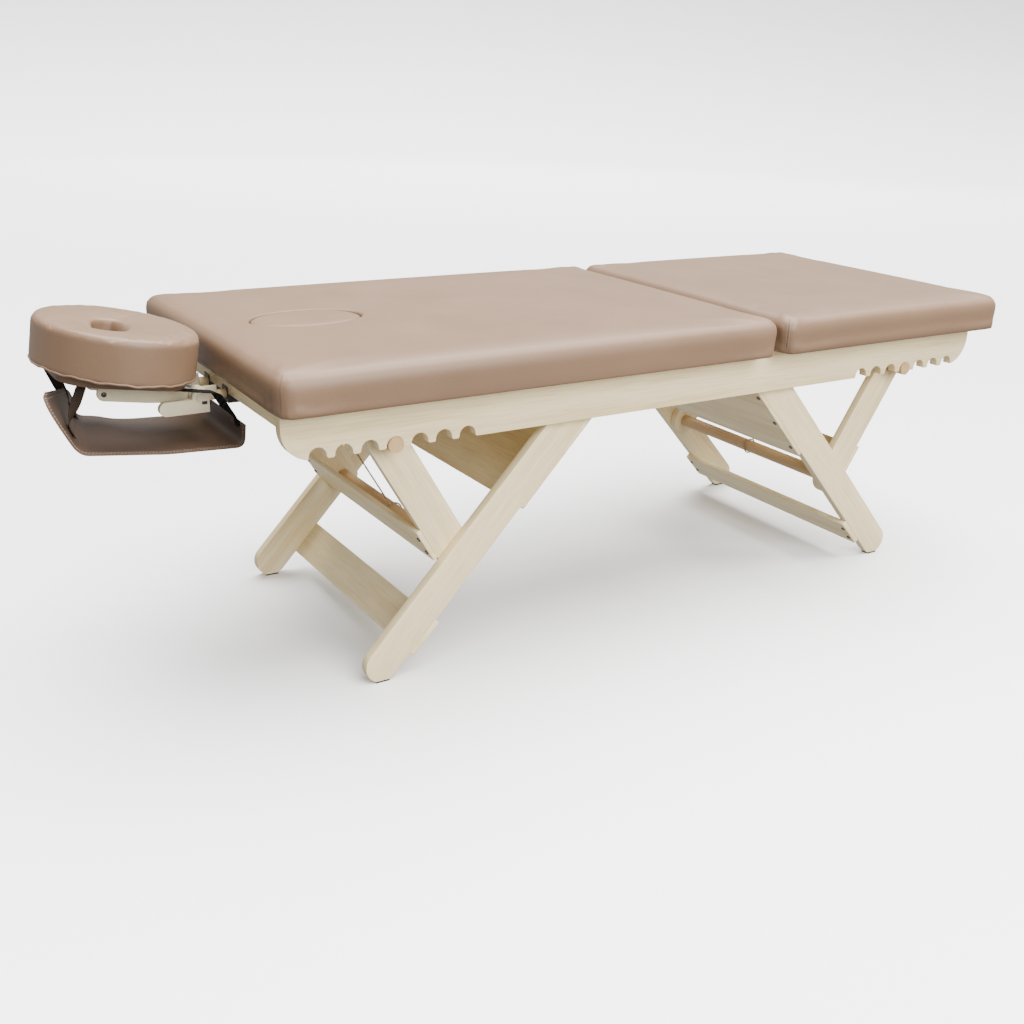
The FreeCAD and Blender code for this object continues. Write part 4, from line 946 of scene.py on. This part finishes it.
def rounded_path(corners, radius, step):
    """Points along straight runs whose corners are rounded off by curves that start a radius away."""
    points = [corners[0]]
    for before, corner, after in zip(corners, corners[1:], corners[2:]):
        start = corner + (before - corner).normalized() * radius
        finish = corner + (after - corner).normalized() * radius
        for share in (index / CURVE_STEPS for index in range(CURVE_STEPS + 1)):
            points.append(start.lerp(corner, share).lerp(corner.lerp(finish, share), share))
    points.append(corners[-1])
    fine = [points[0]]
    for first, last in zip(points, points[1:]):
        count = max(1, math.ceil((last - first).length / step))
        fine += [first.lerp(last, index / count) for index in range(1, count + 1)]
    return fine


sag = (LEFT_FOLD + RIGHT_FOLD) / 2 - Vector((0, 0, SLING_SAG))
sling_path = rounded_path([TONGUE_TOP, LEFT_FOLD, sag, RIGHT_FOLD, FLAP_TOP], SLING_FOLD, SLING_STEP)
TONGUE_BASE = LEFT_FOLD.z + SLING_FOLD


def sling_half(point):
    """Half width of the sling at a point of its path: the tongue narrows in a round."""
    if point.x > LEFT_FOLD.x + SLING_FOLD or point.z < TONGUE_BASE:
        return SLING_HALF
    share = min(1.0, (point.z - TONGUE_BASE) / (TONGUE_TOP.z - TONGUE_BASE))
    return SLING_TIP_HALF + (SLING_HALF - SLING_TIP_HALF) * math.sqrt(max(0.0, 1 - share ** 3))


def eased(share):
    """Smooth step from 0 to 1."""
    share = clamp(share)
    return share * share * (3 - 2 * share)


def swung(point):
    """The tongue hangs askew: its near side swings out and up, its far side in and down."""
    away = point.x - LEFT_FOLD.x - SLING_FOLD
    risen = (point.z - LEFT_FOLD.z) / (TONGUE_TOP.z - LEFT_FOLD.z)
    share = 0.0 if away > 0 else clamp(risen)
    aside = point.y / SLING_HALF
    skew = FOLD_SKEW + (TIP_SKEW - FOLD_SKEW) * share
    shift = FOLD_SHIFT + (TIP_SHIFT - FOLD_SHIFT) * share + skew * aside
    return point + Vector((shift * eased(1 - max(0.0, away) / FOLD_BLEND), 0,
                           -(TIP_DROP * aside + TIP_LOWER) * share))


def strip_mesh(name, path, half_width, across, twist=lambda point: 0.0):
    """A strip of cloth that follows a path in side view, with its width along Y or twisted from it."""
    verts, faces = [], []
    for point in path:
        half = half_width(point)
        side = Vector((math.sin(twist(point)), math.cos(twist(point)), 0))
        verts += [point + side * (half * (2 * column / across - 1)) for column in range(across + 1)]
    for row in range(len(path) - 1):
        for column in range(across):
            corner = row * (across + 1) + column
            faces.append((corner, corner + across + 1, corner + across + 2, corner + 1))
    mesh = bpy.data.meshes.new(name)
    mesh.from_pydata(verts, [], faces)
    return new_object(name, mesh)


def thickened(strip, thickness, ease, group=""):
    """Give a strip its thickness and eased edges; a vertex group keeps the full thickness for a hem."""
    modify(strip, "SOLIDIFY", thickness=thickness, offset=0.0, vertex_group=group,
           thickness_vertex_group=CLOTH_SHARE)
    face_outward(strip)
    modify(strip, "BEVEL", width=ease, segments=2, limit_method="ANGLE", angle_limit=CLOTH_SHARP)
    smooth(strip, CLOTH_SHARP)


sling = strip_mesh("arm_sling_cloth", sling_path, sling_half, SLING_ACROSS)
hem = sling.vertex_groups.new(name="hem")
for row, point in enumerate(sling_path):
    half = sling_half(point)
    near_end = min((point - TONGUE_TOP).length, (point - FLAP_TOP).length) < HEM_WIDTH
    for column in range(SLING_ACROSS + 1):
        from_side = half * (1 - abs(2 * column / SLING_ACROSS - 1))
        if near_end or from_side < HEM_WIDTH:
            hem.add([row * (SLING_ACROSS + 1) + column], 1.0, "REPLACE")
for vertex in sling.data.vertices:
    vertex.co = swung(vertex.co)
thickened(sling, SLING_THICK, SLING_EASE, "hem")
dress(sling, sling_leather)
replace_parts(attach(sling, "face_rest"), "arm_sling")

# %% [markdown]
# The hems of the sling are sewn down with two rows of stitches. They follow the cloth's outline at two
# distances from its edge, on both faces.

# %% Sling stitches
HEM_ROWS = (4 * MM, 10 * MM)
END_STEPS = 16
STITCH_OFF, STITCH_ENDS, STITCH_CREST = 0.1 * MM, 0.7, 1.25


def sling_row(inset, side):
    """A line along one side of the sling, a distance in from its edge."""
    return [swung(Vector((point.x, side * (sling_half(point) - inset), point.z))) for point in sling_path]


def sling_end(inset, last):
    """A line across one end of the sling, a distance in from its edge."""
    path = sling_path[::-1] if last else sling_path
    place = walked(path, inset)[1]
    half = sling_half(place) - inset
    return [swung(Vector((place.x, half * (2 * step / END_STEPS - 1), place.z)))
            for step in range(END_STEPS + 1)]


sling_surface = surface_of(sling)


def off_sling(place):
    return sling_surface.find_nearest(place)[1]


sling_stitches = []
for inset in HEM_ROWS:
    rows = [sling_row(inset, side) for side in (-1, 1)]
    rows += [sling_end(inset, last) for last in (False, True)]
    for row in rows:
        for face in (-1, 1):
            for first, middle, last in stitch_lines(row, off_sling, STITCH_PITCH, STITCH_LENGTH, 0):
                outward = off_sling(middle).normalized() * face
                lift = outward * (SLING_THICK / 2 + STITCH_OFF)
                ends = lift * STITCH_ENDS
                sling_stitches.append([first + ends, middle + lift * STITCH_CREST, last + ends])
sewing = threads("sling_stitches", sling_stitches, STITCH_RADIUS, stitch_thread)
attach(sewing, "face_rest")
print("sling has", len(sling_stitches), "stitches")

# %% [markdown]
# Four flat woven straps hold the sling: two from the outer end of the face rest's board to the tongue
# and two from its table end to the flap. Each is a narrow strip that twists as it hangs, so it is flat
# under the board and flat on the sling, and shows its width in between.

# %% Sling straps
STRAP_THICK, STRAP_EASE = 1.8 * MM, 0.5 * MM
STRAP_BEND, STRAP_STEP, STRAP_ACROSS = 9 * MM, 4 * MM, 6
OUTER_TWIST, TABLE_TWIST = math.radians(68), math.radians(-34)
TWISTED_BY, UNTWISTED_AT, UNTWIST_OVER = 0.6, 1.06, 0.12


def strap(name, node, corners, hang, most, edge_share, material):
    """Woven strip through these corners, twisted by most between the two heights of hang.

    It twists about its middle with an edge share of 0, and about its edge towards the table with 1.
    """
    low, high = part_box(node)
    middle = (low.y + high.y) / 2
    half = (high.y - low.y) / 2
    sewn = [swung(Vector((corner.x, middle, corner.z))) for corner in corners[:2]]
    free = [Vector((corner.x, middle, corner.z)) for corner in corners[2:]]
    path = rounded_path(sewn + free, STRAP_BEND, STRAP_STEP)

    def twist(point):
        share = (point.z - hang[0]) / (hang[1] - hang[0])
        return most * eased(share / TWISTED_BY) * eased((UNTWISTED_AT - share) / UNTWIST_OVER)

    path = [point - Vector((edge_share * half * abs(math.sin(twist(point))), 0, 0)) for point in path]
    band = strip_mesh(name, path, lambda point: half, STRAP_ACROSS, twist)
    thickened(band, STRAP_THICK, STRAP_EASE)
    dress(band, material)
    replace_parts(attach(band, "face_rest"), node)


PLATE_FROM_HINGE = Vector((-138.5, 0, 17.3)) * MM
PLATE_HALF = 110 * MM
STRAP_LAP = 72 * MM
STRAP_FOLD_IN = {"left": 43 * MM, "right": 14 * MM}
SEWN_FROM, SEWN_TO, HANG_FROM = 0.16, 0.36, 0.3
ON_TONGUE = Vector((2.8, 0, 0.5)) * MM
ON_FLAP, OVER_FLAP, FLAP_TO_BEND = (Vector(place) * MM for place in ((-3, 0, -12), (-4, 0, 2), (-33, 0, 55)))


def under_plate(along):
    """A point just under the tilted board, a distance from its middle."""
    return tilt @ (hinge + PLATE_FROM_HINGE + Vector((along, 0, -STRAP_THICK)))


def up_tongue(share):
    return LEFT_FOLD.lerp(TONGUE_TOP, share)


table_bend = FLAP_TOP + FLAP_TO_BEND
for side in ("left", "right"):
    fold, lap_end = under_plate(STRAP_FOLD_IN[side] - PLATE_HALF), under_plate(STRAP_LAP - PLATE_HALF)
    strap(f"outer_strap_{side}", f"sling_strap_outer_{side}",
          [up_tongue(SEWN_FROM) + ON_TONGUE, up_tongue(SEWN_TO) + ON_TONGUE, fold, lap_end],
          (up_tongue(HANG_FROM).z, fold.z), OUTER_TWIST, 0, brown_webbing)
    strap(f"table_strap_{side}", f"sling_strap_table_{side}",
          [FLAP_TOP + ON_FLAP, FLAP_TOP + OVER_FLAP, table_bend,
           under_plate(PLATE_HALF - STRAP_LAP / 2), under_plate(PLATE_HALF - STRAP_LAP)],
          (FLAP_TOP.z, table_bend.z), TABLE_TWIST, 1, black_webbing)

# %% [markdown]
# A thin laid cord ties each trestle's dowel to the rod that its struts turn on. Two strands wind round
# one path: a loop on the rod, a straight run and a loop on the dowel.

# %% Tie cords
STRAND_RADIUS, STRAND_OFF = 1.15 * MM, 1.0 * MM
CORD_LAY, CORD_STEP = 11 * MM, 2 * MM
LOOP_GAP, LOOP_STEPS = 2.6 * MM, 40
ACROSS = Vector((0, 1, 0))


def cord_path(rod, dowel, rod_radius, dowel_radius):
    ahead = (dowel - rod).normalized()
    up = Vector((-ahead.z, 0, ahead.x))
    turns = [2 * math.pi * step / LOOP_STEPS for step in range(LOOP_STEPS + 1)]
    loop = [ahead * math.cos(turn) + up * math.sin(turn) for turn in turns]
    low = [rod + spoke * (rod_radius + LOOP_GAP) for spoke in loop]
    high = [dowel - spoke * (dowel_radius + LOOP_GAP) for spoke in loop]
    return walked(low + high, CORD_STEP)


def strand(path, start):
    """One strand wound round a path that lies in the XZ plane."""
    points, travelled = [], 0.0
    for before, here, after in zip(path, path[1:], path[2:]):
        travelled += (here - before).length
        ahead = (after - before).normalized()
        turn = 2 * math.pi * travelled / CORD_LAY + start
        off = ahead.cross(ACROSS) * math.cos(turn) + ACROSS * math.sin(turn)
        points.append(here + off * STRAND_OFF)
    return points


for end in ("head", "foot"):
    rounds = [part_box(f"{end}_{part}") for part in ("pivot_rod", "notch_dowel")]
    centres = [Vector(((low.x + high.x) / 2, 0, (low.z + high.z) / 2)) for low, high in rounds]
    path = cord_path(*centres, *((high.z - low.z) / 2 for low, high in rounds))
    cord = threads(f"{end}_laid_cord", [strand(path, 0), strand(path, math.pi)], STRAND_RADIUS, tan_cord)
    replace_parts(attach(cord, body_of[f"{end}_tie_cord"]), f"{end}_tie_cord")
    print(end, "cord runs", round((centres[1] - centres[0]).length / MM), "mm")

# %% [markdown]
# A plain pale floor whose far rim curves up into a low wall, as in a photographer's cove, so no horizon
# shows. The light is soft: a sun with a very wide disc overhead, a lamp from the near side, one on the
# cove's wall and an even surround. The floor throws no light back, so that undersides stay dark enough.

# %% Floor and studio light
COVE_RADIUS, COVE_WALL, COVE_CURVE = 16.0, 5.0, 3.5
FLOOR_GREY = (0.93, 0.93, 0.93)
SUN_POWER, SUN_DISC, SUN_FROM = 13, math.radians(70), Vector((0.2, 0.1, 1))
SURROUND_POWER = 0.6
cove = new_drum("studio_floor", (0, 0, COVE_WALL / 2), 2 * COVE_RADIUS, 2 * COVE_RADIUS, COVE_WALL)
pick(cove, "FACE", lambda corners: min(corner.z for corner in corners) > COVE_WALL - TINY)
bpy.ops.mesh.delete(type="FACE")
pick(cove, "EDGE", lambda ends: max(end.z for end in ends) < TINY)
bevel_picked(COVE_CURVE, segments=12)
pick(cove, "FACE")
bpy.ops.mesh.flip_normals()
smooth(cove)
dress(cove, shader("floor_paint", Base_Color=(*FLOOR_GREY, 1), Roughness=0.5, Specular_IOR_Level=0.3)[0])
cove.visible_diffuse = cove.visible_glossy = False


def soft_lamp(name, place, target, size, power):
    lamp = bpy.data.lights.new(name, "AREA")
    lamp.shape, lamp.size, lamp.size_y, lamp.energy = "RECTANGLE", size[0], size[1], power
    aim = (Vector(target) - Vector(place)).to_track_quat("-Z", "Y")
    new_object(name, lamp).matrix_world = Matrix.Translation(place) @ aim.to_matrix().to_4x4()


sky = bpy.data.lights.new("ceiling", "SUN")
sky.energy, sky.angle = SUN_POWER, SUN_DISC
new_object("ceiling", sky).matrix_world = SUN_FROM.to_track_quat("Z", "Y").to_matrix().to_4x4()
soft_lamp("lamp_front", place=(0.2, -3.6, 2.4), target=(0, 0, 0.4), size=(3.2, 2.4), power=310)
soft_lamp("lamp_wall", place=(4.5, 7.5, 7), target=(8.5, 13.5, 1.5), size=(6, 4), power=900)
surround = bpy.context.scene.world or bpy.data.worlds.new("studio_surround")
bpy.context.scene.world = surround
surround.use_nodes = True
background = surround.node_tree.nodes["Background"]
background.inputs["Color"].default_value = (1, 1, 1, 1)
background.inputs["Strength"].default_value = SURROUND_POWER
print("lit by", [light.name for light in bpy.data.lights])
